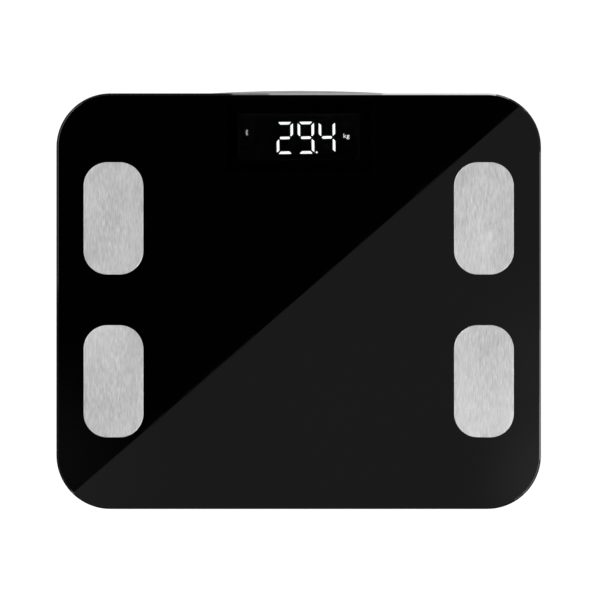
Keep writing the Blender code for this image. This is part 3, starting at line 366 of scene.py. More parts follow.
def spread_about(colour, spread):
    """The colour made darker and lighter by spread, as a pair."""
    return [tuple(min(1.0, part * factor) for part in colour) for factor in (1 - spread, 1 + spread)]


# ---------------------------------------------------------------- materials


def moulded_plastic(name, colour, roughness, grain, depth, edge=0.0, spread=0.06):
    """Spark-textured moulded plastic with a faint flow mottling and rounded edges."""
    material, tree, shader = new_material(name)
    place = place_coordinates(tree)
    fine = noise(tree, place, grain, detail=3.0, rough=0.6)
    flow = noise(tree, place, scale=24.0, detail=3.0)
    tone = sum_of(tree, flow, fine, share=0.35)
    paint(tree, shader, remap(tree, tone, 0, 1), spread_about(colour, spread))
    gloss(tree, shader, fine, roughness - 0.06, roughness + 0.08)
    bump(tree, shader, fine, depth, strength=0.6, edge=edge)
    return material


def sheet_metal(name, colour, roughness, grain, stretch, spread, depth, edge):
    """Metal with a fine grain, stretched along the axes given by stretch."""
    material, tree, shader = new_material(name)
    shader.inputs["Metallic"].default_value = 1.0
    fine = noise(tree, place_coordinates(tree, stretch), grain)
    cloud = noise(tree, place_coordinates(tree), scale=40.0)
    tone = sum_of(tree, fine, cloud, share=0.3)
    paint(tree, shader, remap(tree, tone, 0, 1), spread_about(colour, spread))
    gloss(tree, shader, tone, roughness - 0.05, roughness + 0.07)
    bump(tree, shader, fine, depth, strength=0.5, edge=edge)
    return material


def brushed_steel():
    """Straight-grained steel, brushed along Y, whose highlight spreads across the grain."""
    material, tree, shader = new_material("brushed_steel_plate")
    shader.inputs["Metallic"].default_value = 1.0
    shader.inputs["Anisotropic"].default_value = 0.65
    fine = noise(tree, place_coordinates(tree, (1.0, 0.03, 0.03)), scale=3800.0, detail=3.0, rough=0.7)
    coarse = noise(tree, place_coordinates(tree, (1.0, 0.13, 0.13)), scale=1700.0, rough=0.6)
    haze = noise(tree, place_coordinates(tree, (1, 0.4, 1)), scale=45.0)
    streak = sum_of(tree, fine, coarse, share=0.6)
    tone = sum_of(tree, streak, haze, share=0.15)
    paint(tree, shader, remap(tree, tone, 0, 1, source=(0.36, 0.64)), STEEL_COLOURS)
    gloss(tree, shader, tone, 0.27, 0.40)
    direction = tree.nodes.new("ShaderNodeTangent")
    direction.direction_type = "UV_MAP"
    direction.uv_map = "plan"
    tree.links.new(direction.outputs["Tangent"], shader.inputs["Tangent"])
    bump(tree, shader, streak, 0.01 * MM, strength=0.35)
    return material


def polished_face(name, colours):
    """A polished glass face with hardly a trace of unevenness."""
    material, tree, shader = new_material(name)
    shader.inputs["IOR"].default_value = GLASS_IOR
    place = place_coordinates(tree)
    paint(tree, shader, noise(tree, place, scale=9.0), colours)
    gloss(tree, shader, noise(tree, place, scale=55.0, detail=3.0), 0.0, 0.012)
    return material, shader


def clear_glass():
    """Polished tempered glass, clear with a trace of green."""
    material, shader = polished_face("platform_glass", CLEAR_GLASS_COLOURS)
    shader.inputs["Transmission Weight"].default_value = 1.0
    return material


def black_backed_glass():
    """The glass's polished face where black print lies behind it."""
    return polished_face("black_backed_glass", BLACK_PRINT_COLOURS)[0]


def ground_edge():
    """The glass's ground and polished edge, dark from the print behind it."""
    material, tree, shader = new_material("glass_ground_edge")
    shader.inputs["IOR"].default_value = GLASS_IOR
    grind = noise(tree, place_coordinates(tree, (1, 1, 6)), scale=900.0, detail=3.0, rough=0.6)
    paint(tree, shader, noise(tree, place_coordinates(tree), scale=60.0), GROUND_EDGE_COLOURS)
    gloss(tree, shader, grind, 0.02, 0.05)
    bump(tree, shader, grind, 0.01 * MM, strength=0.05)
    return material


def matt_layer(name, colours, grain, patches, roughness, detail=2.0):
    """A matt layer behind the glass: its colour varies by grain, and its roughness by patches."""
    material, tree, shader = new_material(name)
    shader.inputs["Specular IOR Level"].default_value = 0.0
    place = place_coordinates(tree)
    paint(tree, shader, noise(tree, place, grain, detail), colours)
    gloss(tree, shader, noise(tree, place, patches), *roughness)
    return material


def back_print():
    """Black ceramic print on the back of the glass."""
    return matt_layer("black_back_print", BLACK_PRINT_COLOURS, 700.0, 90.0, (0.6, 0.8), detail=3.0)


def display_ledge():
    """The dark moulded ledge round the display's face."""
    return matt_layer("display_ledge", LEDGE_COLOURS, 900.0, 300.0, (0.5, 0.7))


def unlit_plastic():
    """A milky segment that is off, behind the smoked film."""
    return matt_layer("unlit_segment", UNLIT_COLOURS, 900.0, 300.0, (0.5, 0.6))


def smoked_diffuser(window_low, window_high):
    """The smoked film over the lit digits, a shade paler towards the rear."""
    material, tree, shader = new_material("smoked_film")
    shader.inputs["Specular IOR Level"].default_value = 0.0
    place = place_coordinates(tree)
    rearward = remap(tree, axis_of(tree, place, "Y"), 0, 1, source=(window_low.y, window_high.y))
    grain = noise(tree, place, scale=1500.0)
    paint(tree, shader, sum_of(tree, rearward, grain, share=0.25), SMOKED_COLOURS)
    gloss(tree, shader, noise(tree, place, scale=300.0), 0.45, 0.65)
    return material


def lit_plastic(name, light):
    """Light through a milky segment, uneven as its small lamps make it."""
    material, tree, shader = new_material(name)
    glow = noise(tree, place_coordinates(tree), scale=420.0)
    shader.inputs["Base Color"].default_value = (*SEGMENT_COLOUR, 1.0)
    shader.inputs["Specular IOR Level"].default_value = 0.0
    shader.inputs["Emission Color"].default_value = (*LIT_COLOUR, 1.0)
    tree.links.new(remap(tree, glow, *light), shader.inputs["Emission Strength"])
    gloss(tree, shader, glow, 0.4, 0.5)
    return material


def circuit_board():
    """Green solder resist with the copper under it showing as fine blocks and lines."""
    material, tree, shader = new_material("circuit_board")
    shader.inputs["Coat Weight"].default_value = 0.4
    place = place_coordinates(tree)
    blocks = tree.nodes.new("ShaderNodeTexBrick")
    blocks.inputs["Scale"].default_value = 220.0
    blocks.inputs["Mortar Size"].default_value = 0.12
    blocks.inputs["Color1"].default_value = (*BOARD_COLOURS[0], 1.0)
    blocks.inputs["Color2"].default_value = (*BOARD_COLOURS[1], 1.0)
    blocks.inputs["Mortar"].default_value = (*BOARD_LINE_COLOUR, 1.0)
    tree.links.new(place, blocks.inputs["Vector"])
    tree.links.new(blocks.outputs["Color"], shader.inputs["Base Color"])
    gloss(tree, shader, noise(tree, place, scale=1800.0), 0.3, 0.42)
    bump(tree, shader, blocks.outputs["Fac"], 0.04 * MM, strength=0.4, edge=0.1 * MM)
    return material


def battery_film(node):
    """A printed battery sleeve: deep blue, with a pale band by the positive end, opposite the spring."""
    material, tree, shader = new_material(node + "_film")
    low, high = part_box(node)
    spring_low, spring_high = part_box(node.replace("battery", "battery_spring"))
    positive = -1 if spring_low.x + spring_high.x > low.x + high.x else 1
    end = (high.x if positive > 0 else low.x) * positive
    shader.inputs["Metallic"].default_value = 0.6
    shader.inputs["Coat Weight"].default_value = 0.5
    place = place_coordinates(tree)
    along = math_node(tree, "MULTIPLY", axis_of(tree, place, "X"), positive)
    grain = noise(tree, place, scale=150.0, detail=1.0)
    colour = two_tone(tree, grain, *BATTERY_COLOURS)
    for length, print_colour in ((BATTERY_BAND, BATTERY_BAND_COLOUR), (BATTERY_CAP, BATTERY_CAP_COLOUR)):
        share = remap(tree, along, 0, 1, source=(end - length, end - length + EDGE_OF_PRINT))
        colour = print_over(tree, colour, print_colour, share)
    tree.links.new(colour, shader.inputs["Base Color"])
    gloss(tree, shader, grain, 0.24, 0.30)
    bump(tree, shader, grain, 0.01 * MM, strength=0.1, edge=0.4 * MM)
    return material


def foam():
    """Closed-cell foam tape."""
    material, tree, shader = new_material("closed_cell_foam")
    cells = tree.nodes.new("ShaderNodeTexVoronoi")
    cells.inputs["Scale"].default_value = 2600.0
    tree.links.new(place_coordinates(tree), cells.inputs["Vector"])
    paint(tree, shader, remap(tree, cells.outputs["Distance"], 0, 1, source=(0, 0.7)), FOAM_COLOURS)
    shader.inputs["Roughness"].default_value = 0.85
    bump(tree, shader, cells.outputs["Distance"], 0.1 * MM, strength=0.7)
    return material


MATERIALS = {
    "grey_plastic": moulded_plastic(
        "grey_casing",
        (0.34, 0.345, 0.35),
        roughness=0.42,
        grain=2600.0,
        depth=0.03 * MM,
        edge=0.5 * MM,
        spread=0.025,
    ),
    "dark_plastic": moulded_plastic(
        "dark_moulding",
        (0.028, 0.028, 0.030),
        roughness=0.38,
        grain=2200.0,
        depth=0.02 * MM,
        edge=0.3 * MM,
    ),
    "white_plastic": moulded_plastic(
        "white_moulding",
        (0.72, 0.72, 0.69),
        roughness=0.35,
        grain=1500.0,
        depth=0.01 * MM,
        edge=0.3 * MM,
        spread=0.03,
    ),
    "chip_black": moulded_plastic(
        "chip_epoxy",
        (0.016, 0.016, 0.018),
        roughness=0.5,
        grain=3500.0,
        depth=0.02 * MM,
        edge=0.1 * MM,
    ),
    "rubber": moulded_plastic(
        "soft_rubber",
        (0.045, 0.045, 0.047),
        roughness=0.68,
        grain=3000.0,
        depth=0.04 * MM,
        edge=0.3 * MM,
        spread=0.12,
    ),
    "lead_grey": moulded_plastic(
        "grey_insulation",
        (0.24, 0.24, 0.25),
        roughness=0.4,
        grain=900.0,
        depth=0.01 * MM,
    ),
    "lead_black": moulded_plastic(
        "black_insulation",
        (0.018, 0.018, 0.02),
        roughness=0.38,
        grain=900.0,
        depth=0.01 * MM,
    ),
    "lead_red": moulded_plastic(
        "red_insulation",
        (0.5, 0.02, 0.018),
        roughness=0.38,
        grain=900.0,
        depth=0.01 * MM,
    ),
    "plated_steel": sheet_metal(
        "nickel_plate",
        (0.70, 0.69, 0.66),
        roughness=0.22,
        grain=700.0,
        stretch=(1, 1, 1),
        spread=0.05,
        depth=0.01 * MM,
        edge=0.1 * MM,
    ),
    "load_cell_steel": sheet_metal(
        "load_cell_plate",
        (0.46, 0.46, 0.47),
        roughness=0.36,
        grain=1600.0,
        stretch=(1, 0.05, 1),
        spread=0.08,
        depth=0.02 * MM,
        edge=0.2 * MM,
    ),
    "board_green": circuit_board(),
    "foam_tape": foam(),
    "brushed_steel": brushed_steel(),
    "black_glass": clear_glass(),
}
SMOKED = smoked_diffuser(*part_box("display_diffuser"))


# ---------------------------------------------------------------- mesh helpers


def object_from(name, mesh_data, materials, sharp_angle=SHARP_ANGLE):
    """A mesh object from a bmesh, with its materials, its sharp edges kept and its level faces flat."""
    mesh = bpy.data.meshes.new(name)
    mesh_data.normal_update()
    mesh_data.to_mesh(mesh)
    mesh_data.free()
    for material in materials:
        mesh.materials.append(material)
    mesh.shade_smooth()
    mesh.set_sharp_from_angle(angle=math.radians(sharp_angle))
    for face in mesh.polygons:
        if abs(face.normal.z) > LEVEL:
            face.use_smooth = False
    made = bpy.data.objects.new(name, mesh)
    bpy.context.scene.collection.objects.link(made)
    return made


def middle_of(low, high):
    """The middle of a box on the floor plan."""
    return (low.x + high.x) / 2, (low.y + high.y) / 2


def rounded_rectangle(width, depth, corner, steps, inset=0.0):
    """Points round a rounded rectangle about the origin, anticlockwise, moved in by inset."""
    radius = max(corner - inset, SMALLEST_RADIUS)
    points = []
    for quarter in range(4):
        turn = quarter * math.pi / 2
        centre_x = (width / 2 - corner) * (1 if quarter in (0, 3) else -1)
        centre_y = (depth / 2 - corner) * (1 if quarter in (0, 1) else -1)
        for step in range(steps + 1):
            angle = turn + step / steps * math.pi / 2
            points.append((centre_x + radius * math.cos(angle), centre_y + radius * math.sin(angle)))
    return points


def circle_points(x, y, radius, count):
    """Points round a circle, anticlockwise."""
    points = []
    for index in range(count):
        angle = index / count * 2 * math.pi
        points.append((x + radius * math.cos(angle), y + radius * math.sin(angle)))
    return points


def ring_of(mesh_data, points, centre, z):
    """Vertices round an outline at height z."""
    return [mesh_data.verts.new((centre[0] + x, centre[1] + y, z)) for x, y in points]


def bridge(mesh_data, lower, upper, slot):
    """Quads between two rings of the same length."""
    count = len(lower)
    for index in range(count):
        following = (index + 1) % count
        face = mesh_data.faces.new((lower[index], lower[following], upper[following], upper[index]))
        face.material_index = slot


def turned_piece(name, centre, profile, materials):
    """A solid turned about an upright axis through centre. Its (radius, z) points start and end on it."""
    mesh_data = bmesh.new()
    rings = []
    for radius, z in profile:
        if radius < ON_AXIS:
            rings.append([mesh_data.verts.new((centre[0], centre[1], z))])
        else:
            rings.append(ring_of(mesh_data, circle_points(0, 0, radius, TURNED_SEGMENTS), centre, z))
    for lower, upper in zip(rings, rings[1:]):
        if len(lower) == len(upper):
            bridge(mesh_data, lower, upper, 0)
            continue
        rim, tip = (upper, lower[0]) if len(lower) == 1 else (lower, upper[0])
        for index in range(TURNED_SEGMENTS):
            mesh_data.faces.new((rim[index - 1], rim[index], tip))
    bmesh.ops.recalc_face_normals(mesh_data, faces=mesh_data.faces[:])
    return object_from(name, mesh_data, materials)


def plan_uv(piece):
    """A flat map seen from above, named plan, which gives the brushing its direction."""
    layer = piece.data.uv_layers.new(name="plan")
    for loop in piece.data.loops:
        point = piece.data.vertices[loop.vertex_index].co
        layer.data[loop.index].uv = (point.x * PLAN_SCALE + PLAN_OFFSET, point.y * PLAN_SCALE + PLAN_OFFSET)


# ---------------------------------------------------------------- pieces


def dress_frame():
    """Gives every CAD node its slot's material and welds its seams."""
    slots = {item["node"]: item["material_slot"] for item in frame["record"]["subparts"]}
    for name, node in nodes.items():
        node.data.materials.clear()
        if name == "display_diffuser":
            node.data.materials.append(SMOKED)
        elif slots[name] == "battery_sleeve":
            node.data.materials.append(battery_film(name))
        else:
            node.data.materials.append(MATERIALS[slots[name]])
        weld = node.modifiers.new("weld", "WELD")
        weld.merge_threshold = WELD_REACH


def add_level_face(mesh_data, rim, z, margin, slot):
    """Fills the rim with a level face in the given slot, clear over the display and margin round it."""
    low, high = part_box("display_diffuser")
    width = high.x - low.x + 2 * margin
    depth = high.y - low.y + 2 * margin
    outline = rounded_rectangle(width, depth, WINDOW_CORNER, WINDOW_STEPS)
    pane = mesh_data.faces.new(ring_of(mesh_data, outline, middle_of(low, high), z))
    pane.material_index = CLEAR_SLOT
    edges = [mesh_data.edges.get((rim[index], rim[index - 1])) for index in range(len(rim))]
    filled = bmesh.ops.triangle_fill(mesh_data, use_beauty=True, edges=edges + list(pane.edges))
    for item in filled["geom"]:
        if isinstance(item, bmesh.types.BMFace):
            item.material_index = slot


def make_glass():
    """The glass slab with its ground edge, backed with black print except over the display."""
    low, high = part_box("glass_platform")
    mesh_data = bmesh.new()
    profile = [
        (GLASS_UNDER_BEVEL, low.z),
        (0.0, low.z + GLASS_UNDER_BEVEL),
        (0.0, high.z - GLASS_BEVEL - GLASS_BEVEL_ROUND),
        (GLASS_BEVEL_EASE, high.z - GLASS_BEVEL),
        (GLASS_BEVEL, high.z - GLASS_BEVEL_EASE),
        (GLASS_BEVEL + GLASS_BEVEL_ROUND, high.z),
    ]
    rings = []
    for inset, z in profile:
        outline = rounded_rectangle(high.x - low.x, high.y - low.y, GLASS_CORNER, GLASS_CORNER_STEPS, inset)
        rings.append(ring_of(mesh_data, outline, middle_of(low, high), z))
    for lower, upper in zip(rings, rings[1:]):
        bridge(mesh_data, lower, upper, EDGE_SLOT)
    add_level_face(mesh_data, rings[-1], high.z, WINDOW_MARGIN, BACKED_SLOT)
    add_level_face(mesh_data, rings[0], low.z, 0.0, PRINT_SLOT)
    bmesh.ops.recalc_face_normals(mesh_data, faces=mesh_data.faces[:])
    finishes = [MATERIALS["black_glass"], ground_edge(), back_print(), black_backed_glass()]
    piece = object_from("platform_glass_slab", mesh_data, finishes, GLASS_SHARP_ANGLE)
    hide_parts("glass_platform")
    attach(piece, "casing")


def make_electrode(corner):
    """A brushed steel plate with a rounded rim, and the stud under it."""
    node = "electrode_" + corner
    low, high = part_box(node)
    stud_x, stud_y = middle_of(*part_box("electrode_nut_" + corner))
    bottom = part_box("glass_platform")[1].z + ELECTRODE_GAP
    profile = [(ELECTRODE_UNDER_BEVEL, bottom), (0.0, bottom + ELECTRODE_UNDER_BEVEL)]
    for step in range(ELECTRODE_ROUND_STEPS + 1):
        angle = step / ELECTRODE_ROUND_STEPS * math.pi / 2
        inset = ELECTRODE_ROUND * (1 - math.cos(angle))
        profile.append((inset, high.z - ELECTRODE_ROUND * (1 - math.sin(angle))))
    mesh_data = bmesh.new()
    rings = []
    for inset, z in profile:
        outline = rounded_rectangle(
            high.x - low.x, high.y - low.y, ELECTRODE_CORNER, ELECTRODE_CORNER_STEPS, inset
        )
        rings.append(ring_of(mesh_data, outline, middle_of(low, high), z))
    for lower, upper in zip(rings, rings[1:]):
        bridge(mesh_data, lower, upper, 0)
    mesh_data.faces.new(rings[-1])
    mesh_data.faces.new(list(reversed(rings[0])))
    bmesh.ops.create_cone(
        mesh_data,
        cap_ends=True,
        segments=STUD_SEGMENTS,
        radius1=STUD_RADIUS,
        radius2=STUD_RADIUS,
        depth=bottom - low.z,
        matrix=Matrix.Translation((stud_x, stud_y, (bottom + low.z) / 2)),
    )
    bmesh.ops.recalc_face_normals(mesh_data, faces=mesh_data.faces[:])
    finishes = [MATERIALS["brushed_steel"]]
    piece = object_from("steel_electrode_" + corner, mesh_data, finishes, ELECTRODE_SHARP_ANGLE)
    plan_uv(piece)
    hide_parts(node)
    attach(piece, "casing")


def make_pad(corner):
    """A rubber foot pad with ring grooves in its underside."""
    node = "foot_pad_" + corner
    low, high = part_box(node)
    radius = (high.x - low.x) / 2
    profile = [(0.0, low.z)]
    groove = GROOVE_FIRST
    while groove + GROOVE_MARGIN < radius - RUBBER_EDGE:
        profile.append((groove - GROOVE_HALF_MOUTH, low.z))
        profile.append((groove - GROOVE_HALF_FLOOR, low.z + GROOVE_DEPTH))
        profile.append((groove + GROOVE_HALF_FLOOR, low.z + GROOVE_DEPTH))
        profile.append((groove + GROOVE_HALF_MOUTH, low.z))
        groove += GROOVE_PITCH
    for step in range(RUBBER_EDGE_STEPS + 1):
        angle = step / RUBBER_EDGE_STEPS * math.pi / 2
        out = radius - RUBBER_EDGE * (1 - math.sin(angle))
        profile.append((out, low.z + RUBBER_EDGE * (1 - math.cos(angle))))
    profile.append((radius, high.z - RUBBER_TOP_BEVEL))
    profile.append((radius - RUBBER_TOP_BEVEL, high.z))
    profile.append((0.0, high.z))
    piece = turned_piece("rubber_pad_" + corner, middle_of(low, high), profile, [MATERIALS["rubber"]])
    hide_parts(node)
    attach(piece, "foot_" + corner)


# ---------------------------------------------------------------- display


def placed(points, x, y, flip_x=1, flip_y=1):
    """The points mirrored by the flips and moved to (x, y)."""
    return [(x + flip_x * px, y + flip_y * py) for px, py in points]


def digit_segments(x, y):
    """The outline of each of a digit's seven segments, by the usual letters. (x, y) is the digit's middle."""
    half = SEGMENT_WIDTH / 2
    reach = DIGIT_SPREAD - SEGMENT_GAP
    inner = reach - SEGMENT_TAPER
    end_bar = [
        (-reach, half - SEGMENT_TIP),
        (-reach + SEGMENT_TIP, half),
        (reach - SEGMENT_TIP, half),
        (reach, half - SEGMENT_TIP),
        (inner, -half),
        (-inner, -half),
    ]
    middle = reach - SEGMENT_TAPER / 2
    shoulder = middle - half * SEGMENT_SHOULDER
    middle_bar = [
        (-middle, 0),
        (-shoulder, -half),
        (shoulder, -half),
        (middle, 0),
        (shoulder, half),
        (-shoulder, half),
    ]
    top = DIGIT_RISE - SEGMENT_GAP / 2
    foot = SEGMENT_WIDTH / 3 + SEGMENT_GAP
    upright = [
        (half - SEGMENT_TIP, top),
        (half, top - SEGMENT_TIP),
        (half, foot + SEGMENT_TAPER),
        (-half / 2, foot),
        (-half, foot + SEGMENT_TIP),
        (-half, top - SEGMENT_TAPER),
    ]
    return {
        "a": placed(end_bar, x, y + DIGIT_RISE),
        "g": placed(middle_bar, x, y),
        "d": placed(end_bar, x, y - DIGIT_RISE, 1, -1),
        "b": placed(upright, x + DIGIT_SPREAD, y),
        "f": placed(upright, x - DIGIT_SPREAD, y, -1),
        "c": placed(upright, x + DIGIT_SPREAD, y, 1, -1),
        "e": placed(upright, x - DIGIT_SPREAD, y, -1, -1),
    }


def add_tile(mesh_data, points, z):
    """A thin flat tile on its outline."""
    lower = ring_of(mesh_data, points, (0, 0), z)
    upper = ring_of(mesh_data, points, (0, 0), z + LIT_THICKNESS)
    bridge(mesh_data, lower, upper, 0)
    mesh_data.faces.new(upper)
    mesh_data.faces.new(list(reversed(lower)))


def reading_shapes(middle_x, digits_y, z):
    """The lit segments with the point, and the ones that are off, with a spare digit before the reading."""
    lit = bmesh.new()
    unlit = bmesh.new()
    first_x = middle_x + FIRST_DIGIT_X
    for place, shown in enumerate(READING):
        for letter, points in digit_segments(first_x + place * DIGIT_PITCH, digits_y).items():
            add_tile(lit if letter in LIT_SEGMENTS[shown] else unlit, points, z)
    for points in digit_segments(first_x - DIGIT_PITCH, digits_y).values():
        add_tile(unlit, points, z)
    point_x = first_x + (DIGITS_BEFORE_POINT - 0.5) * DIGIT_PITCH
    add_tile(lit, circle_points(point_x, digits_y - DIGIT_RISE, POINT_RADIUS, POINT_SEGMENTS), z)
    for shape in (lit, unlit):
        turn = Matrix.Rotation(READING_TILT, 3, "Z")
        bmesh.ops.rotate(shape, verts=shape.verts, cent=(middle_x, digits_y, z), matrix=turn)
    return lit, unlit


def signal_shape(x, y, z):
    """A short upright arc, open to the right."""
    points = []
    for radius, way in ((SIGNAL_RADIUS, 1), (SIGNAL_RADIUS - SIGNAL_WIDTH, -1)):
        for step in range(SIGNAL_STEPS + 1):
            angle = math.pi + way * (step / SIGNAL_STEPS - 0.5) * SIGNAL_ARC
            points.append((x + SIGNAL_RADIUS + radius * math.cos(angle), y + radius * math.sin(angle)))
    shape = bmesh.new()
    add_tile(shape, points, z)
    return shape


def ledge_shape(width, depth, middle, z):
    """A thin frame round the display's face, broader along its rear side."""
    outer = rounded_rectangle(width, depth, WINDOW_CORNER, WINDOW_STEPS)
    inner = rounded_rectangle(width, depth, WINDOW_CORNER, WINDOW_STEPS, LEDGE_SIDE_WIDTH)
    inner = [(x, min(y, depth / 2 - LEDGE_WIDTH)) for x, y in inner]
    top = z + LIT_THICKNESS
    shape = bmesh.new()
    section = ((inner, z), (outer, z), (outer, top), (inner, top))
    rings = [ring_of(shape, points, middle, height) for points, height in section]
    for lower, upper in zip(rings, rings[1:] + rings[:1]):
        bridge(shape, lower, upper, 0)
    return shape


def unit_letters(x, y, z):
    """The unit beside the reading, as thin solid letters."""
    words = bpy.data.curves.new("unit_mark", "FONT")
    words.body = "kg"
    words.size = UNIT_HEIGHT
    words.extrude = LIT_THICKNESS / 2
    words.offset = UNIT_BOLDNESS
    words.space_character = UNIT_SPACING
    writer = bpy.data.objects.new("unit_mark_curve", words)
    bpy.context.scene.collection.objects.link(writer)
    writer.location = (x, y, z + LIT_THICKNESS / 2)
    writer.scale = (UNIT_STRETCH, 1, 1)
    bpy.context.view_layer.update()
    mesh = bpy.data.meshes.new_from_object(writer.evaluated_get(bpy.context.evaluated_depsgraph_get()))
    mesh.transform(writer.matrix_world)
    bpy.data.objects.remove(writer)
    mesh.materials.clear()
    mesh.materials.append(lit_plastic("lit_unit", UNIT_LIGHT))
    letters = bpy.data.objects.new("unit_mark", mesh)
    bpy.context.scene.collection.objects.link(letters)
    return letters


def make_display():
    """The reading, its unit, the signal mark and the ledge, between the smoked film and the glass."""
    low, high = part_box("display_diffuser")
    z = high.z + LIT_LIFT
    middle_x, middle_y = middle_of(low, high)
    digits_y = middle_y + DIGITS_Y
    lit, unlit = reading_shapes(middle_x, digits_y, z)
    signal = signal_shape(middle_x + SIGNAL_OFFSET, digits_y + DIGIT_RISE * SIGNAL_RISE, z)
    ledge = ledge_shape(high.x - low.x, high.y - low.y, (middle_x, middle_y), z)
    pieces = []
    for name, shape, material in (
        ("lit_reading", lit, lit_plastic("lit_segment", READING_LIGHT)),
        ("unlit_segments", unlit, unlit_plastic()),
        ("signal_mark", signal, lit_plastic("lit_signal", SIGNAL_LIGHT)),
        ("display_ledge", ledge, display_ledge()),
    ):
        bmesh.ops.recalc_face_normals(shape, faces=shape.faces[:])
        pieces.append(object_from(name, shape, [material]))
    pieces.append(unit_letters(middle_x + UNIT_OFFSET, digits_y, z))
    for piece in pieces:
        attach(piece, "casing")


# ---------------------------------------------------------------- studio


def emitter(name, strength):
    """A plain material that gives white light."""
    material, tree, surface = blank_material(name)
    light = tree.nodes.new("ShaderNodeEmission")
    light.inputs["Color"].default_value = (*WHITE, 1.0)
    light.inputs["Strength"].default_value = strength
    tree.links.new(light.outputs["Emission"], surface)
    return material, tree, light


def flat_card(name, corners, material):
    """A flat card that only reflections and what shows through glass see."""
    mesh = bpy.data.meshes.new(name)
    mesh.from_pydata(corners, [], [(0, 1, 2, 3)])
    mesh.materials.append(material)
    card = bpy.data.objects.new(name, mesh)
    bpy.context.scene.collection.objects.link(card)
    card.visible_camera = False
    card.visible_diffuse = False
    card.visible_shadow = False
    card.visible_volume_scatter = False


def make_floor():
    """A near-white floor that glows by itself, takes little light, and isn't there from below."""
    material, tree, surface = blank_material("studio_floor")
    diffuse = tree.nodes.new("ShaderNodeBsdfDiffuse")
    diffuse.inputs["Color"].default_value = (*FLOOR_COLOUR, 1.0)
    glow = tree.nodes.new("ShaderNodeEmission")
    glow.inputs["Strength"].default_value = FLOOR_GLOW
    both = tree.nodes.new("ShaderNodeAddShader")
    clear = tree.nodes.new("ShaderNodeBsdfTransparent")
    facing = tree.nodes.new("ShaderNodeNewGeometry")
    choose = tree.nodes.new("ShaderNodeMixShader")
    tree.links.new(diffuse.outputs["BSDF"], both.inputs[0])
    tree.links.new(glow.outputs["Emission"], both.inputs[1])
    tree.links.new(facing.outputs["Backfacing"], choose.inputs["Fac"])
    tree.links.new(both.outputs["Shader"], choose.inputs[1])
    tree.links.new(clear.outputs["BSDF"], choose.inputs[2])
    tree.links.new(choose.outputs["Shader"], surface)
    mesh = bpy.data.meshes.new("floor")
    half = FLOOR_HALF
    corners = [(-half, -half, 0), (half, -half, 0), (half, half, 0), (-half, half, 0)]
    mesh.from_pydata(corners, [], [(0, 1, 2, 3)])
    mesh.materials.append(material)
    floor = bpy.data.objects.new("floor", mesh)
    bpy.context.scene.collection.objects.link(floor)
    floor.visible_diffuse = False
    floor.visible_shadow = False


def glow_about(tree, vector, centre, radius, strength):
    """A soft round glow about a point."""
    away = tree.nodes.new("ShaderNodeVectorMath")
    away.operation = "DISTANCE"
    away.inputs[1].default_value = centre
    tree.links.new(vector, away.inputs[0])
    node = tree.nodes.new("ShaderNodeMapRange")
    node.interpolation_type = "SMOOTHSTEP"
    node.inputs["From Min"].default_value = 0.0
    node.inputs["From Max"].default_value = radius
    node.inputs["To Min"].default_value = strength
    node.inputs["To Max"].default_value = 0.0
    tree.links.new(away.outputs["Value"], node.inputs["Value"])
    return node.outputs["Result"]


def make_ceiling():
    """The dark ceiling and the softbox in it, whose slanting edge shows across the glass."""
    material, tree, light = emitter("overhead", 0.0)
    source = tree.nodes.new("ShaderNodeTexCoord")
    shrink = tree.nodes.new("ShaderNodeVectorMath")
    shrink.operation = "MULTIPLY"
    # A point on the glass mirrors the ceiling's point this many times as far out.
    stretch = (CAMERA_DISTANCE + CEILING_HEIGHT - MIRROR_HEIGHT) / CAMERA_DISTANCE
    shrink.inputs[1].default_value = (1 / stretch, 1 / stretch, 0)
    tree.links.new(source.outputs["Object"], shrink.inputs[0])
    mirrored = shrink.outputs["Vector"]
    slant = math_node(tree, "MULTIPLY", axis_of(tree, mirrored, "X"), SOFTBOX_SLOPE)
    edge = math_node(tree, "ADD", slant, SOFTBOX_OFFSET)
    in_front = math_node(tree, "SUBTRACT", edge, axis_of(tree, mirrored, "Y"))
    inside = remap(tree, in_front, 0, 1, source=(-SOFTBOX_EDGE, SOFTBOX_EDGE))
    strength = math_node(tree, "MULTIPLY", inside, SOFTBOX_LIGHT)
    for centre, radius, extra in CEILING_GLOWS:
        strength = math_node(tree, "ADD", strength, glow_about(tree, mirrored, centre, radius, extra))
    tree.links.new(strength, light.inputs["Strength"])
    deep = CEILING_HALF_DEPTH
    plan = [(CEILING_LEFT, -deep), (CEILING_RIGHT, -deep), (CEILING_RIGHT, deep), (CEILING_LEFT, deep)]
    flat_card("overhead_card", [(x, y, CEILING_HEIGHT) for x, y in plan], material)


def upright_card(name, start, end, inward, strength):
    """An upright card from start to end on the floor plan, and a level strip in front of it.

    inward is the strip's inner side along X and Y, as shares of how far out the card is.
    """
    material = emitter(name, strength)[0]
    flat_card(name, [(*start, CARD_LOW), (*end, CARD_LOW), (*end, CARD_HIGH), (*start, CARD_HIGH)], material)
    strip_start = (start[0] * inward[0], start[1] * inward[1])
    strip_end = (end[0] * inward[0], end[1] * inward[1])
    plan = [strip_start, strip_end, end, start]
    flat_card(name + "_strip", [(x, y, CARD_LOW) for x, y in plan], material)


def make_side_cards():
    """Low cards beside the glass that only its ground edge picks up."""
    for x, cards in ((CARD_X, RIGHT_CARDS), (-CARD_X, LEFT_CARDS)):
        for name, start, end, strength in cards:
            upright_card(name, (x, start), (x, end), (STRIP_REACH, 1), strength)
    for y, cards in ((CARD_Y, REAR_CARDS), (-CARD_Y, FRONT_CARDS)):
        for name, start, end, strength in cards:
            upright_card(name, (start, y), (end, y), (1, STRIP_REACH), strength)


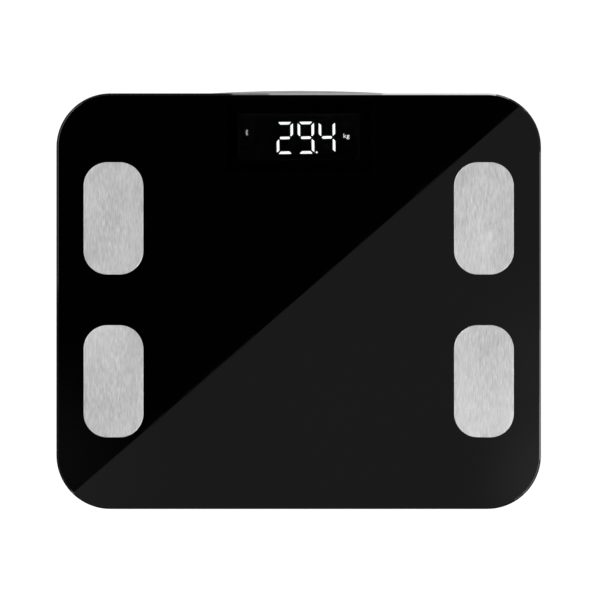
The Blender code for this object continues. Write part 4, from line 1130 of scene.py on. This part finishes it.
def make_wall():
    """A ring of slanting light panels on a dark wall, seen only in reflections and through glass."""
    material, tree, light = emitter("light_panels", 0.0)
    source = tree.nodes.new("ShaderNodeTexCoord")
    place = source.outputs["Object"]
    up = axis_of(tree, place, "Z")
    turn = math_node(tree, "ARCTAN2", axis_of(tree, place, "Y"), axis_of(tree, place, "X"))
    lean = math_node(tree, "MULTIPLY", up, PANEL_LEAN)
    slanted = math_node(tree, "ADD", turn, lean)
    wave = math_node(tree, "SINE", math_node(tree, "MULTIPLY", slanted, PANELS))
    panel = remap(tree, wave, WALL_DARK, WALL_BRIGHT, source=(-PANEL_EDGE, PANEL_EDGE))
    rise = remap(tree, up, 0, 1, source=WALL_FADE)
    tree.links.new(math_node(tree, "MULTIPLY", panel, rise), light.inputs["Strength"])
    shape = bmesh.new()
    bmesh.ops.create_cone(
        shape,
        segments=WALL_SEGMENTS,
        radius1=WALL_RADIUS,
        radius2=WALL_RADIUS,
        depth=WALL_HEIGHT,
        matrix=Matrix.Translation((0, 0, WALL_HEIGHT / 2)),
    )
    wall = object_from("wall_of_panels", shape, [material])
    wall.visible_camera = False
    wall.visible_diffuse = False
    wall.visible_shadow = False


def make_dome():
    """A white surround that only the camera sees, so that every view has the same pale ground."""
    shape = bmesh.new()
    bmesh.ops.create_uvsphere(shape, u_segments=32, v_segments=16, radius=DOME_RADIUS)
    dome = object_from("surround", shape, [emitter("surround_white", 1.0)[0]])
    dome.visible_diffuse = False
    dome.visible_glossy = False
    dome.visible_transmission = False
    dome.visible_shadow = False


def soft_light(name, azimuth, elevation, distance, size, power):
    """A square soft light aimed at the scale."""
    data = bpy.data.lights.new(name, "AREA")
    data.shape = "SQUARE"
    data.size = size
    data.energy = power
    light = bpy.data.objects.new(name, data)
    bpy.context.scene.collection.objects.link(light)
    turn = math.radians(azimuth)
    rise = math.radians(elevation)
    way = Vector((math.cos(turn) * math.cos(rise), math.sin(turn) * math.cos(rise), math.sin(rise)))
    light.location = way * distance
    light.rotation_euler = (-way).to_track_quat("-Z", "Y").to_euler()


def make_world():
    """Soft white light from above, and less than half as much from below."""
    world = bpy.data.worlds.new("soft_studio")
    world.use_nodes = True
    tree = world.node_tree
    background = tree.nodes["Background"]
    background.inputs["Color"].default_value = (*WHITE, 1.0)
    source = tree.nodes.new("ShaderNodeTexCoord")
    up = axis_of(tree, source.outputs["Generated"], "Z")
    strength = remap(tree, up, UNDER_LIGHT, WORLD_LIGHT, source=(-HORIZON, HORIZON))
    tree.links.new(strength, background.inputs["Strength"])
    bpy.context.scene.world = world


def make_camera():
    """A long lens straight above the glass."""
    data = bpy.data.cameras.new("camera")
    data.sensor_width = SENSOR_WIDTH
    data.lens = SENSOR_WIDTH * CAMERA_DISTANCE / FRAME_WIDTH
    data.clip_end = CAMERA_REACH
    camera = bpy.data.objects.new("camera", data)
    bpy.context.scene.collection.objects.link(camera)
    camera.location = (CAMERA_X, CAMERA_Y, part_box("glass_platform")[1].z + CAMERA_DISTANCE)
    bpy.context.scene.camera = camera


# ---------------------------------------------------------------- the scene

dress_frame()
make_glass()
for corner in CORNERS:
    make_electrode(corner)
    make_pad(corner)
make_display()

make_floor()
make_ceiling()
make_side_cards()
make_wall()
make_dome()
for soft in SOFT_LIGHTS:
    soft_light(*soft)
make_world()
make_camera()
bpy.context.scene.view_settings.view_transform = "Standard"
